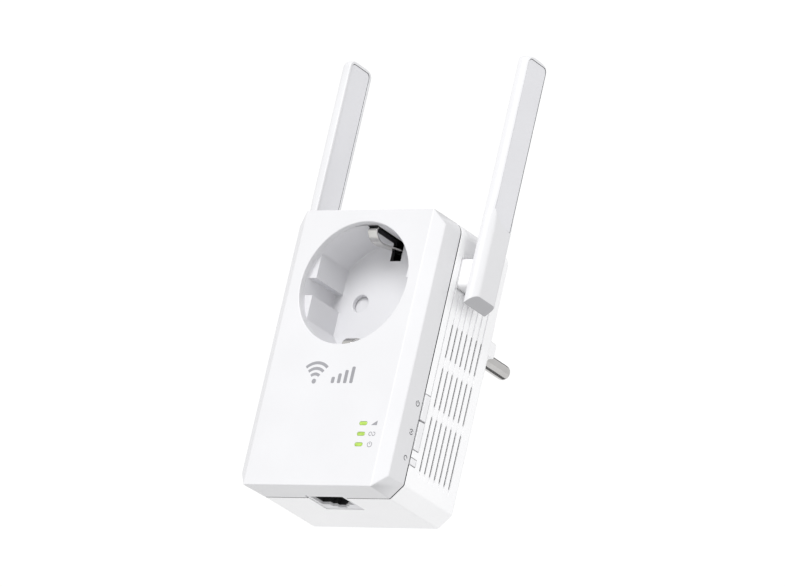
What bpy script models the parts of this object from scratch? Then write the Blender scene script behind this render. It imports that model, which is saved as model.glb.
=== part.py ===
"""Wall-plug wifi range extender with a pass-through earthed socket and two folding antennas.

Metres, +Z up.  The origin is the centre of the plug's rear face, the plane that
the two pins leave.  +Y points into the wall, and the socket faces -Y.
Each sub-part is one named object, with its own material.
"""
import math

import bmesh
import bpy
from mathutils import Vector

# ---------------------------------------------------------------- driving dimensions
# Casing
BODY_HEIGHT = 0.0887
BODY_DEPTH = 0.0380
WALL = 0.0020
COVER_DEPTH = 0.0112        # front face to the parting line
SIDE_BEVEL_WIDTH = 0.0046   # sloped strip down each long side of the front face
SIDE_BEVEL_DEPTH = 0.0030
CORNER_WIDTH = 0.0041       # cut-off corners of the outline
CORNER_HEIGHT = 0.0046
GAP = 0.0003                # between pieces that touch
RUNNING_GAP = 0.0003        # between pieces that slide or turn

# Socket, in front
RECESS_RADIUS = 0.01975
RECESS_MARGIN = 0.00395     # recess to the casing's top
RECESS_SIDE = 0.00765       # recess to the casing's side
RECESS_DEPTH = 0.0175
CUP_WALL = 0.0014
CUP_FLOOR = 0.0015
GUIDE_THICKNESS = 0.00295   # of a guide rib, in from the recess's wall
GUIDE_HALF_GAP = 0.0028     # half of the channel between two guide ribs
GUIDE_SETBACK = 0.0031      # front face to the front of a guide rib
PIN_SPACING = 0.0190
PIN_HOLE_RADIUS = 0.0028
CLIP_WIDTH = 0.0034         # earth clip
CLIP_THICKNESS = 0.0007
CLIP_RISE = 0.00445         # recess's wall to the crest of an earth clip
CLIP_CLEARANCE = 0.0015     # clip's crest to the edge of its slot in the cup's floor
SHUTTER_POST_RADIUS = 0.0015
SHUTTER_THICKNESS = 0.0010
SHUTTER_HUB = 0.0034
SHUTTER_LAP = 0.0004        # how far a blade laps past its pin hole
SPRING_WIRE_RADIUS = 0.00022
CONTACT_WIDTH = 0.0046
CONTACT_LEAF = 0.0006

# Plug, behind
PLUG_DROP = 0.0023          # socket axis down to the plug's axis
PLUG_REACH = 0.0142         # casing's back to the plug's rear face
PLUG_RADIUS = 0.0186
PLUG_GROOVE = 0.0023        # depth of the side grooves that take a socket's guide ribs
PLUG_HALF_RIB = 0.0025
PLUG_WALL = 0.0046          # round the hollow behind the plug's face
PLUG_FACE = 0.0040          # thickness of the wall that holds the pins
PLUG_FLANGE = 0.0022
PIN_RADIUS = 0.0024
PIN_LENGTH = 0.0190
EARTH_LEG = 0.0007          # thickness of the plug's earth contact
EARTH_LEG_DEPTH = 0.0015    # depth of the groove that it lies in
MAINS_LEAD_RADIUS = 0.0007

# Lights and buttons
LIGHT_INSET = 0.0116        # casing's side to a light's centre
LIGHT_RISE = 0.0132         # casing's bottom to the lowest light
LIGHT_PITCH = 0.00335
LIGHT_LENGTH = 0.0028
LIGHT_HEIGHT = 0.0011
BUTTON_DEPTH = 0.0026       # along Y
BUTTON_PROUD = 0.0004
STEM_REACH = 0.0024
POWER_BUTTON = (0.0295, 0.0080, 0.0015)    # rise of its centre, height, travel
PAIRING_BUTTON = (0.0205, 0.0088, 0.0008)
RESET_BUTTON = (0.0123, 0.0020, 0.0008)

# Ethernet jack, in the bottom
JACK_WIDTH = 0.0138
JACK_DEPTH = 0.0114
JACK_LENGTH = 0.0158
JACK_SETBACK = 0.0095       # front face to the jack
PORT_WIDTH = 0.0120
PORT_DEPTH = 0.0068

# Air slots, in both sides
SLOT_PITCH = 0.00263
SLOT_WIDTH = 0.0008
SLOT_COUNT = 8
SLOT_START = 0.0144         # front face to the first slot
SLOT_ROWS = ((0.0111, 0.0284), (0.0315, 0.0440), (0.0474, 0.0580))  # rises above the bottom

# Antennas
PIVOT_SETBACK = 0.0198      # front face to the antennas' turning axis
PIVOT_RISE = 0.0088         # socket axis to the antennas' turning axis
BOSS_REACH = 0.0039         # how far a hinge boss stands off the casing's side
BOSS_DEPTH = 0.0100
BOSS_HEIGHT = 0.0090
ANTENNA_THICKNESS = 0.0035
ANTENNA_BASE_THICKNESS = 0.0037
ANTENNA_DEPTH = 0.0117
ANTENNA_BASE_DEPTH = 0.0119
ANTENNA_NOSE = 0.0014       # rounding of the paddle's front edge, along the depth
ANTENNA_BASE_NOSE = 0.0030
ANTENNA_HEEL = 0.0016       # rounding of the rear edge
ANTENNA_EDGE = 0.0004       # rounding along the flat inner side
ANTENNA_RISE = 0.0712       # pivot to the tip
ANTENNA_TIP = 0.0026        # rounding of the tip
ANTENNA_TAIL = 0.0102       # pivot to the bottom end
ANTENNA_END_LIFT = 0.0030   # how far the bottom end rises towards its outer side
ANTENNA_SHOULDER = 0.0130   # pivot to where the base starts to thin
ANTENNA_TAPER = 0.0140      # length over which it thins
AXLE_RADIUS = 0.0022
AXLE_COVER = 0.0015         # antenna's wall over the axle's end
NECK_WALL = 0.0015
RING_THICKNESS = 0.0006
LEAD_RADIUS = 0.0006
PANEL_RIM = 0.0010
PANEL_THICKNESS = 0.0007
PANEL_CORNER = 0.0016
PANEL_FOOT = 0.0165         # pivot to the lower edge of a panel
PANEL_ARCH = 0.0045         # how far that edge rises towards the front
PANEL_LEDGE = 0.0008        # ledge that a panel lies on
ELEMENT_THICKNESS = 0.0008
CHANNEL_WIDTH = 0.0016      # of the lead's channel, from the axle to the element

# Fasteners and boards
POST_RADIUS = 0.0028
POST_INSET = 0.0057         # casing's top to an upper post
POST_RISE = 0.0075          # casing's bottom to a lower post
SCREW_RADIUS = 0.0012
SCREW_HEAD_RADIUS = 0.0020
SCREW_HEAD_DEPTH = 0.0014
SCREW_LENGTH = 0.0220
BOARD_THICKNESS = 0.0012
BOARD_MARGIN = 0.0010       # board's edge to the casing's wall
SHIELD_HEIGHT = 0.0024
CHIP_HEIGHT = 0.0012

ROUND = 32                  # sides of a medium round piece
ROUND_LARGE = 56
ROUND_SMALL = 16

# ---------------------------------------------------------------- derived places
HALF_WIDTH = RECESS_RADIUS + RECESS_SIDE
BACK_Y = -PLUG_REACH
FRONT_Y = BACK_Y - BODY_DEPTH
PARTING_Y = FRONT_Y + COVER_DEPTH
SOCKET_Z = PLUG_DROP
TOP_Z = SOCKET_Z + RECESS_RADIUS + RECESS_MARGIN
BOTTOM_Z = TOP_Z - BODY_HEIGHT
CUP_RADIUS = RECESS_RADIUS + CUP_WALL
GUIDE_CHORD = RECESS_RADIUS - GUIDE_THICKNESS
CLIP_REACH = RECESS_RADIUS - CLIP_RISE
PLUG_CHORD = PLUG_RADIUS - PLUG_GROOVE
PLUG_BORE = PLUG_RADIUS - PLUG_WALL
CUP_START_Y = FRONT_Y + WALL + GAP
CUP_FLOOR_Y = FRONT_Y + RECESS_DEPTH
CUP_BACK_Y = CUP_FLOOR_Y + CUP_FLOOR
PIVOT_Y = FRONT_Y + PIVOT_SETBACK
PIVOT_Z = SOCKET_Z + PIVOT_RISE
ANTENNA_X = HALF_WIDTH + BOSS_REACH + RUNNING_GAP
JACK_START_Y = FRONT_Y + JACK_SETBACK
JACK_BACK_Y = JACK_START_Y + JACK_DEPTH
MAIN_BOARD_BACK_Y = JACK_START_Y - GAP
MAIN_BOARD_Y = MAIN_BOARD_BACK_Y - BOARD_THICKNESS
BUTTON_Y = PARTING_Y + GAP + BUTTON_DEPTH / 2
PLUG_FLANGE_Y = BACK_Y - WALL - GAP - PLUG_FLANGE
POWER_BOARD_Y = PLUG_FLANGE_Y - GAP - BOARD_THICKNESS
BOARD_TOP_Z = SOCKET_Z - CUP_RADIUS - 0.0012
POST_X = HALF_WIDTH - SIDE_BEVEL_WIDTH - POST_RADIUS
POST_TOP_Z = TOP_Z - POST_INSET
POST_LOW_Z = BOTTOM_Z + POST_RISE
SHUTTER_Y = CUP_BACK_Y + RUNNING_GAP
SHUTTER_BACK_Y = SHUTTER_Y + SHUTTER_THICKNESS
SHUTTER_POST_STOP = SHUTTER_BACK_Y + 0.0016
STRAP_BAR_Y = CUP_BACK_Y + 0.0040
CONTACT_STOP_Y = POWER_BOARD_Y + 0.0002
EARTH_BAR_Y = BACK_Y + 2 * GAP
SWITCH_X = HALF_WIDTH - WALL - STEM_REACH      # free end of a button's stem
NECK_RADIUS = AXLE_RADIUS + NECK_WALL
NECK_START_X = HALF_WIDTH - WALL - 0.0004
WASHER_X = NECK_START_X - RUNNING_GAP - RING_THICKNESS
CIRCLIP_X = WASHER_X - RUNNING_GAP - RING_THICKNESS
AXLE_START_X = CIRCLIP_X - 0.0010
AXLE_STOP_X = ANTENNA_X + ANTENNA_BASE_THICKNESS - AXLE_COVER
GROOVE_RADIUS = AXLE_RADIUS - 0.0006
SIDE_NAMES = {1: "right", -1: "left"}


# ---------------------------------------------------------------- shapes
def box_mesh(low, high, bm=None):
    """Add an axis-aligned box to a mesh."""
    bm = bm or bmesh.new()
    low, high = Vector(low), Vector(high)
    made = bmesh.ops.create_cube(bm, size=1.0)["verts"]
    bmesh.ops.scale(bm, verts=made, vec=high - low)
    bmesh.ops.translate(bm, verts=made, vec=(low + high) / 2)
    return bm


def prism_mesh(outline, axis, start, stop, bm=None):
    """Extrude a closed outline of (u, v) pairs along an axis.

    u and v are the two other axes in X, Y, Z order.
    """
    bm = bm or bmesh.new()
    order = {"X": (1, 2, 0), "Y": (0, 2, 1), "Z": (0, 1, 2)}[axis]

    def point(u, v, w):
        place = [0.0, 0.0, 0.0]
        for index, value in zip(order, (u, v, w)):
            place[index] = value
        return bm.verts.new(place)

    low = [point(u, v, start) for u, v in outline]
    high = [point(u, v, stop) for u, v in outline]
    faces = [bm.faces.new(low), bm.faces.new(high)]
    for i in range(len(outline)):
        j = (i + 1) % len(outline)
        faces.append(bm.faces.new((low[i], low[j], high[j], high[i])))
    bmesh.ops.recalc_face_normals(bm, faces=faces)
    return bm


def arc(radius, first_deg, last_deg, steps, centre=(0.0, 0.0)):
    """Points on a circle's arc, both ends included."""
    turn = [math.radians(first_deg + (last_deg - first_deg) * i / steps) for i in range(steps + 1)]
    return [(centre[0] + radius * math.cos(a), centre[1] + radius * math.sin(a)) for a in turn]


def circle(radius, sides, centre=(0.0, 0.0)):
    return arc(radius, 0, 360, sides, centre)[:-1]


def rod_mesh(radius, axis, start, stop, centre, sides=ROUND, bm=None):
    """A cylinder along an axis; centre is its place on the two other axes."""
    return prism_mesh(circle(radius, sides, centre), axis, start, stop, bm)


def tube_mesh(radius, bore, axis, start, stop, centre, sides=ROUND):
    """A ring: the outer wall, both annular ends and the bore."""
    bm = rod_mesh(radius, axis, start, stop, centre, sides)
    ends = [f for f in bm.faces if len(f.verts) == sides]
    bmesh.ops.inset_region(bm, faces=ends, thickness=radius - bore, use_even_offset=True)
    inner = [f for f in bm.faces if len(f.verts) == sides]
    bmesh.ops.bridge_loops(bm, edges=[e for f in inner for e in f.edges])
    bmesh.ops.delete(bm, geom=inner, context="FACES_ONLY")
    bmesh.ops.recalc_face_normals(bm, faces=bm.faces)
    return bm


def slab(half_u, half_v, centre=(0.0, 0.0)):
    """A rectangle's outline."""
    corners = ((-1, -1), (1, -1), (1, 1), (-1, 1))
    return [(centre[0] + u * half_u, centre[1] + v * half_v) for u, v in corners]


def pill(length, height, centre, steps=6):
    """A slot with round ends, lying along its first axis."""
    u, v = centre
    reach = (length - height) / 2
    first = arc(height / 2, -90, 90, steps, (u + reach, v))
    return first + arc(height / 2, 90, 270, steps, (u - reach, v))


def cross_outline(arm, half, centre):
    """A plus sign, for a screw's drive."""
    quarter = [(arm, -half), (arm, half), (half, half)]
    points = []
    for _ in range(4):
        points += quarter
        quarter = [(-v, u) for u, v in quarter]
    return [(centre[0] + u, centre[1] + v) for u, v in points]


def ribbon(path, thickness):
    """The outline of a bent strip that is centred on a path."""
    sides = ([], [])
    for i, point in enumerate(path):
        before = Vector(path[max(i - 1, 0)])
        after = Vector(path[min(i + 1, len(path) - 1)])
        here = Vector(point)
        first = (here - before).normalized() if i else (after - here).normalized()
        last = (after - here).normalized() if i < len(path) - 1 else first
        along = (first + last).normalized()
        normal = Vector((-along.y, along.x))
        reach = thickness / 2 / max(along.dot(first), 0.5)
        sides[0].append(tuple(here + normal * reach))
        sides[1].append(tuple(here - normal * reach))
    return sides[0] + sides[1][::-1]


def guided_outline(radius, chord, half_middle, centre, sides):
    """A circle with a flat land on each side, split by a channel or a rib at mid height.

    It is the shape of an earthed socket's recess, and of the plug that fits it.
    """
    cu, cv = centre
    land = math.degrees(math.acos(chord / radius))
    middle = math.degrees(math.asin(half_middle / radius))
    points = []
    for turn in (0, 180):
        flip = -1 if turn else 1
        points += arc(radius, turn - middle, turn + middle, 4)
        points.append((flip * chord, flip * half_middle))
        points += arc(radius, turn + land, turn + 180 - land, sides // 2)
        points.append((-flip * chord, flip * half_middle))
    return [(cu + u, cv + v) for u, v in points]


# ---------------------------------------------------------------- objects
def material(name, colour, roughness, metallic=0.0):
    made = bpy.data.materials.new(name)
    made.use_nodes = True
    shader = made.node_tree.nodes["Principled BSDF"]
    shader.inputs["Base Color"].default_value = (*colour, 1.0)
    shader.inputs["Roughness"].default_value = roughness
    shader.inputs["Metallic"].default_value = metallic
    made.diffuse_color = (*colour, 1.0)
    return made


def make(name, bm, finish=None, origin=(0.0, 0.0, 0.0), smooth=False):
    """Turn a mesh in world places into an object whose origin is at the given point."""
    mesh = bpy.data.meshes.new(name)
    bmesh.ops.translate(bm, verts=bm.verts, vec=-Vector(origin))
    bm.to_mesh(mesh)
    bm.free()
    obj = bpy.data.objects.new(name, mesh)
    bpy.context.scene.collection.objects.link(obj)
    obj.location = origin
    if finish:
        mesh.materials.append(finish)
    if smooth:
        mesh.shade_smooth()
        mesh.set_sharp_from_angle(angle=math.radians(35))
    return obj


def combine(obj, bm, operation):
    """Cut a mesh out of an object, or join it on, with a hidden tool object."""
    tool = make(obj.name + "_tool", bm)
    tool.hide_render = True
    tool.display_type = "WIRE"
    modifier = obj.modifiers.new(operation.title(), "BOOLEAN")
    modifier.operation = operation
    modifier.solver = "EXACT"
    modifier.object = tool


def cut(obj, bm):
    combine(obj, bm, "DIFFERENCE")


def join(obj, bm):
    combine(obj, bm, "UNION")


def mirrored(bm):
    """The same mesh on the other side of the YZ plane."""
    bmesh.ops.scale(bm, verts=bm.verts, vec=(-1, 1, 1))
    bmesh.ops.reverse_faces(bm, faces=bm.faces)
    return bm


def sided(bm, side):
    """A mesh made for the right side, moved to the side asked for."""
    return bm if side > 0 else mirrored(bm)


# ---------------------------------------------------------------- casing
def casing_mesh(inset, start, stop):
    """The casing's outer form, or the form a wall's thickness inside it, between two depths."""
    bm = box_mesh((-2 * HALF_WIDTH, start, 2 * BOTTOM_Z), (2 * HALF_WIDTH, stop, 2 * TOP_Z))
    corner = Vector((CORNER_HEIGHT, 0, CORNER_WIDTH)).normalized()
    bevel = Vector((SIDE_BEVEL_DEPTH, -SIDE_BEVEL_WIDTH, 0)).normalized()
    planes = [((0, 0, TOP_Z), (0, 0, 1)), ((0, 0, BOTTOM_Z), (0, 0, -1)), ((0, FRONT_Y, 0), (0, -1, 0))]
    for side in (1, -1):
        edge = side * HALF_WIDTH
        planes.append(((edge, 0, 0), (side, 0, 0)))
        planes.append(((edge, 0, TOP_Z - CORNER_HEIGHT), (side * corner.x, 0, corner.z)))
        planes.append(((edge, 0, BOTTOM_Z + CORNER_HEIGHT), (side * corner.x, 0, -corner.z)))
        planes.append(((edge, FRONT_Y + SIDE_BEVEL_DEPTH, 0), (side * bevel.x, bevel.y, 0)))
    for point, normal in planes:
        normal = Vector(normal)
        place = Vector(point) - normal * inset
        whole = bm.verts[:] + bm.edges[:] + bm.faces[:]
        bmesh.ops.bisect_plane(bm, geom=whole, plane_co=place, plane_no=normal, clear_outer=True, dist=1e-7)
        rim = [e for e in bm.edges if e.is_boundary]
        if rim:
            bmesh.ops.edgeloop_fill(bm, edges=rim)
    bmesh.ops.recalc_face_normals(bm, faces=bm.faces)
    return bm


def post_places():
    return [(side * POST_X, z) for z in (POST_TOP_Z, POST_LOW_Z) for side in (1, -1)]


def port_opening():
    """The cut that lets the ethernet jack through the casing's bottom."""
    half = JACK_WIDTH / 2 + GAP
    low = (-half, JACK_START_Y - GAP, BOTTOM_Z - WALL)
    return box_mesh(low, (half, JACK_BACK_Y + GAP, BOTTOM_Z + 2 * WALL))


def light_places():
    x = HALF_WIDTH - LIGHT_INSET
    return [(x, BOTTOM_Z + LIGHT_RISE + LIGHT_PITCH * i) for i in range(3)]


def front_cover(white):
    stop = PARTING_Y - GAP / 2
    cover = make("front_cover", casing_mesh(0, FRONT_Y - WALL, stop), white)
    cut(cover, casing_mesh(WALL, FRONT_Y - WALL, stop + WALL))
    for x, z in post_places():
        join(cover, rod_mesh(POST_RADIUS, "Y", FRONT_Y + WALL / 2, stop, (x, z), ROUND_SMALL))
    mouth = rod_mesh(RECESS_RADIUS, "Y", FRONT_Y - WALL, FRONT_Y + 2 * WALL, (0, SOCKET_Z), ROUND_LARGE)
    cut(cover, mouth)
    pilots = bmesh.new()
    tip = BACK_Y - SCREW_HEAD_DEPTH - SCREW_LENGTH - 3 * GAP
    start = max(tip, FRONT_Y + WALL)
    for place in post_places():
        rod_mesh(SCREW_RADIUS + GAP, "Y", start, stop + WALL, place, ROUND_SMALL, pilots)
    cut(cover, pilots)
    windows = bmesh.new()
    for place in light_places():
        outline = pill(LIGHT_LENGTH + GAP, LIGHT_HEIGHT + GAP, place)
        prism_mesh(outline, "Y", FRONT_Y - WALL, FRONT_Y + 2 * WALL, windows)
    cut(cover, windows)
    cut(cover, port_opening())


def slot_mesh():
    """All air slots of both sides: cuts right through, in rows."""
    bm = bmesh.new()
    for side in (1, -1):
        wall = sorted((side * (HALF_WIDTH - 2 * WALL), side * (HALF_WIDTH + WALL)))
        for i in range(1, SLOT_COUNT):
            y = FRONT_Y + SLOT_START + SLOT_PITCH * i
            for low, high in SLOT_ROWS:
                bottom, top = BOTTOM_Z + low, BOTTOM_Z + high
                near, far = y - SLOT_WIDTH / 2, y + SLOT_WIDTH / 2
                box_mesh((wall[0], near, bottom), (wall[1], far, top), bm)
    return bm


def hinge_hole_mesh():
    bm = bmesh.new()
    reach = HALF_WIDTH + WALL
    for side in (1, -1):
        start, stop = sorted((side * (HALF_WIDTH - 2 * WALL), side * reach))
        rod_mesh(NECK_RADIUS + GAP, "X", start, stop, (PIVOT_Y, PIVOT_Z), ROUND, bm)
    return bm


def button_notch_mesh():
    """Openings for the buttons, open towards the parting line."""
    bm = bmesh.new()
    far = BUTTON_Y + BUTTON_DEPTH / 2 + RUNNING_GAP
    strip_low = BOTTOM_Z + PAIRING_BUTTON[0] - PAIRING_BUTTON[1] / 2 - RUNNING_GAP
    strip_high = BOTTOM_Z + POWER_BUTTON[0] + POWER_BUTTON[1] / 2 + RUNNING_GAP
    inner, outer = HALF_WIDTH - 2 * WALL, HALF_WIDTH + WALL
    box_mesh((inner, PARTING_Y - WALL, strip_low), (outer, far, strip_high), bm)
    reset_low = BOTTOM_Z + RESET_BUTTON[0] - RESET_BUTTON[1] / 2 - RUNNING_GAP
    reset_high = BOTTOM_Z + RESET_BUTTON[0] + RESET_BUTTON[1] / 2 + RUNNING_GAP
    box_mesh((inner, PARTING_Y - WALL, reset_low), (outer, far, reset_high), bm)
    return bm


def rear_housing(white):
    start = PARTING_Y + GAP / 2
    housing = make("rear_housing", casing_mesh(0, start, BACK_Y), white)
    cut(housing, casing_mesh(WALL, start - WALL, BACK_Y - WALL))
    for x, z in post_places():
        join(housing, rod_mesh(POST_RADIUS, "Y", start, BACK_Y - WALL / 2, (x, z), ROUND_SMALL))
    plug_hole = rod_mesh(PLUG_RADIUS + GAP, "Y", BACK_Y - 2 * WALL, BACK_Y + WALL, (0, 0), ROUND_LARGE)
    cut(housing, plug_hole)
    shanks = bmesh.new()
    heads = bmesh.new()
    for x, z in post_places():
        rod_mesh(SCREW_RADIUS + GAP, "Y", start - WALL, BACK_Y + WALL, (x, z), ROUND_SMALL, shanks)
        head_y = BACK_Y - SCREW_HEAD_DEPTH - 2 * GAP
        rod_mesh(SCREW_HEAD_RADIUS + GAP, "Y", head_y, BACK_Y + WALL, (x, z), ROUND_SMALL, heads)
    cut(housing, shanks)
    cut(housing, heads)
    cut(housing, hinge_hole_mesh())
    cut(housing, slot_mesh())
    cut(housing, button_notch_mesh())
    cut(housing, port_opening())


def screws(steel):
    for i, (x, z) in enumerate(post_places()):
        seat = BACK_Y - SCREW_HEAD_DEPTH - GAP
        middle = seat + SCREW_HEAD_DEPTH / 2
        shank = rod_mesh(SCREW_RADIUS, "Y", seat - SCREW_LENGTH, middle, (x, z), ROUND_SMALL)
        screw = make(f"casing_screw_{i + 1}", shank, steel, smooth=True)
        head = rod_mesh(SCREW_HEAD_RADIUS, "Y", seat, seat + SCREW_HEAD_DEPTH, (x, z), ROUND_SMALL)
        join(screw, head)
        cross = cross_outline(SCREW_HEAD_RADIUS * 0.6, SCREW_HEAD_RADIUS * 0.14, (x, z))
        drive = prism_mesh(cross, "Y", middle, BACK_Y + WALL)
        cut(screw, drive)


# ---------------------------------------------------------------- socket
def clip_path():
    """The earth strap's line in depth and height: one clip, the bar behind the cup, the other clip."""
    crest = CLIP_REACH + CLIP_THICKNESS / 2
    bar = STRAP_BAR_Y
    upper = [
        (FRONT_Y + 0.0036, RECESS_RADIUS - 0.0001),
        (FRONT_Y + 0.0052, crest + 0.0021),
        (FRONT_Y + 0.0068, crest + 0.0003),
        (FRONT_Y + 0.0082, crest),
        (FRONT_Y + 0.0120, crest + 0.0003),
        (CUP_FLOOR_Y - 0.0011, crest + 0.0011),
        (CUP_BACK_Y + 0.0005, crest + 0.0015),
        (bar - 0.0010, crest + 0.0015),
        (bar, crest + 0.0005),
    ]
    lower = [(y, -z) for y, z in reversed(upper)]
    return [(y, SOCKET_Z + z) for y, z in upper + lower]


def socket_cup(white):
    outer = rod_mesh(CUP_RADIUS, "Y", CUP_START_Y, CUP_BACK_Y, (0, SOCKET_Z), ROUND_LARGE)
    cup = make("socket_cup", outer, white)
    mouth_stop = FRONT_Y + GUIDE_SETBACK
    cut(cup, rod_mesh(RECESS_RADIUS, "Y", CUP_START_Y - WALL, mouth_stop, (0, SOCKET_Z), ROUND_LARGE))
    outline = guided_outline(RECESS_RADIUS, GUIDE_CHORD, GUIDE_HALF_GAP, (0, SOCKET_Z), ROUND_LARGE - 10)
    cut(cup, prism_mesh(outline, "Y", mouth_stop - GAP, CUP_FLOOR_Y))
    holes = bmesh.new()
    for side in (1, -1):
        centre = (side * PIN_SPACING / 2, SOCKET_Z)
        rod_mesh(PIN_HOLE_RADIUS, "Y", CUP_FLOOR_Y - WALL, CUP_BACK_Y + WALL, centre, ROUND, holes)
    cut(cup, holes)
    half = CLIP_WIDTH / 2 + GAP
    slots = bmesh.new()
    for side in (1, -1):
        inner = SOCKET_Z + side * (CLIP_REACH - CLIP_CLEARANCE)
        wall = SOCKET_Z + side * (RECESS_RADIUS - 0.0006)
        outer_z = SOCKET_Z + side * (CUP_RADIUS + WALL)
        start = FRONT_Y + 0.0025
        stop = CUP_BACK_Y + WALL
        step = CUP_FLOOR_Y - GAP
        outline = [(start, wall), (step, wall), (step, inner)]
        outline += [(stop, inner), (stop, outer_z), (start, outer_z)]
        prism_mesh(outline, "X", -half, half, slots)
    cut(cup, slots)
    middle = (0, SOCKET_Z)
    join(cup, rod_mesh(SHUTTER_POST_RADIUS, "Y", CUP_BACK_Y - GAP, SHUTTER_POST_STOP, middle, ROUND_SMALL))


def socket_shutter(plastic):
    """Two blades on one hub, which cover the pin holes until they are turned aside."""
    reach = PIN_SPACING / 2 + PIN_HOLE_RADIUS + SHUTTER_LAP
    stop = SHUTTER_BACK_Y
    outline = slab(reach, PIN_HOLE_RADIUS + SHUTTER_LAP, (0, SOCKET_Z))
    pivot = (0, SHUTTER_Y, SOCKET_Z)
    shutter = make("socket_shutter", prism_mesh(outline, "Y", SHUTTER_Y, stop), plastic, pivot)
    join(shutter, rod_mesh(SHUTTER_HUB, "Y", SHUTTER_Y, stop, (0, SOCKET_Z), ROUND))
    bore = SHUTTER_POST_RADIUS + RUNNING_GAP
    cut(shutter, rod_mesh(bore, "Y", SHUTTER_Y - WALL, stop + WALL, (0, SOCKET_Z), ROUND_SMALL))


def coil_mesh(radius, wire, pitch, turns, start_y, centre, per_turn=16, sides=6):
    """A helical wire about Y."""
    bm = bmesh.new()
    rings = []
    for i in range(int(turns * per_turn) + 1):
        turn = 2 * math.pi * i / per_turn
        out = Vector((math.cos(turn), 0, math.sin(turn)))
        middle = Vector((centre[0], start_y + pitch * i / per_turn, centre[1])) + out * radius
        ring = []
        for j in range(sides):
            spin = 2 * math.pi * j / sides
            offset = out * math.cos(spin) + Vector((0, 1, 0)) * math.sin(spin)
            ring.append(bm.verts.new(middle + offset * wire))
        rings.append(ring)
    for first, second in zip(rings, rings[1:]):
        for j in range(sides):
            k = (j + 1) % sides
            bm.faces.new((first[j], first[k], second[k], second[j]))
    bm.faces.new(rings[0])
    bm.faces.new(rings[-1])
    bmesh.ops.recalc_face_normals(bm, faces=bm.faces)
    return bm


def shutter_spring(steel):
    wire = SPRING_WIRE_RADIUS
    start = SHUTTER_BACK_Y + RUNNING_GAP + wire
    coil = coil_mesh(SHUTTER_POST_RADIUS + GAP + 2 * wire, wire, 3 * wire, 2, start, (0, SOCKET_Z))
    make("shutter_spring", coil, steel, smooth=True)


def earth_strap(metal):
    outline = ribbon(clip_path(), CLIP_THICKNESS)
    make("earth_strap", prism_mesh(outline, "X", -CLIP_WIDTH / 2, CLIP_WIDTH / 2), metal)


def pin_contact(name, side, brass):
    """A forked spring contact for one pin, on a plate that the plug's pin meets."""
    leaf = CONTACT_LEAF
    start = SHUTTER_BACK_Y + 0.0012
    plate_stop = CONTACT_STOP_Y
    plate_start = plate_stop - leaf
    grip = PIN_RADIUS + GAP
    x = side * PIN_SPACING / 2
    mouth = (start, SOCKET_Z + grip + 0.0008)
    waist = (start + 0.0015, SOCKET_Z + grip)
    root = (plate_start, SOCKET_Z + grip + 0.0004)
    upper = [mouth, waist, root]
    outline = [(y, z + leaf) for y, z in upper]
    outline.append((plate_stop, root[1] + leaf))
    outline.append((plate_stop, -PIN_RADIUS - leaf))
    outline.append((plate_start, -PIN_RADIUS - leaf))
    lower = [(y, 2 * SOCKET_Z - z) for y, z in reversed(upper)]
    outline += [(y, z - leaf) for y, z in lower]
    outline += lower[::-1]
    outline += upper[::-1]
    make(name, prism_mesh(outline, "X", x - CONTACT_WIDTH / 2, x + CONTACT_WIDTH / 2), brass)


# ---------------------------------------------------------------- plug
def plug_base(white):
    flange_stop = PLUG_FLANGE_Y + PLUG_FLANGE
    outline = guided_outline(PLUG_RADIUS, PLUG_CHORD, PLUG_HALF_RIB, (0, 0), ROUND_LARGE - 10)
    base = make("plug_base", prism_mesh(outline, "Y", PLUG_FLANGE_Y, 0), white)
    join(base, rod_mesh(PLUG_RADIUS + WALL, "Y", PLUG_FLANGE_Y, flange_stop, (0, 0), ROUND_LARGE))
    cut(base, rod_mesh(PLUG_BORE, "Y", PLUG_FLANGE_Y - WALL, -PLUG_FACE, (0, 0), ROUND))
    holes = bmesh.new()
    for side in (1, -1):
        centre = (side * PIN_SPACING / 2, 0)
        rod_mesh(PIN_RADIUS + GAP, "Y", -2 * PLUG_FACE, WALL, centre, ROUND, holes)
    cut(base, holes)
    half = CLIP_WIDTH / 2 + GAP
    grooves = bmesh.new()
    for side in (1, -1):
        floor = side * (PLUG_RADIUS - EARTH_LEG_DEPTH)
        top = side * (PLUG_RADIUS + WALL)
        inner = side * (PLUG_BORE - WALL)
        start = BACK_Y + GAP
        through = EARTH_BAR_Y + EARTH_LEG + GAP
        stop = -0.0016
        outline = [(start, inner), (through, inner), (through, floor)]
        outline += [(stop, floor), (stop, top), (start, top)]
        prism_mesh(outline, "X", -half, half, grooves)
    cut(base, grooves)


def plug_earth_strap(metal):
    """Side earth contacts of the plug, joined by a bar across its hollow."""
    leg = PLUG_RADIUS - 0.0008
    middle = EARTH_BAR_Y + EARTH_LEG / 2
    path = [(-0.0020, leg - 0.0002), (-0.0060, leg), (middle + 0.0008, leg), (middle, leg - 0.0008)]
    path = path + [(y, -z) for y, z in reversed(path)]
    outline = ribbon(path, EARTH_LEG)
    make("plug_earth_strap", prism_mesh(outline, "X", -CLIP_WIDTH / 2, CLIP_WIDTH / 2), metal)


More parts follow.
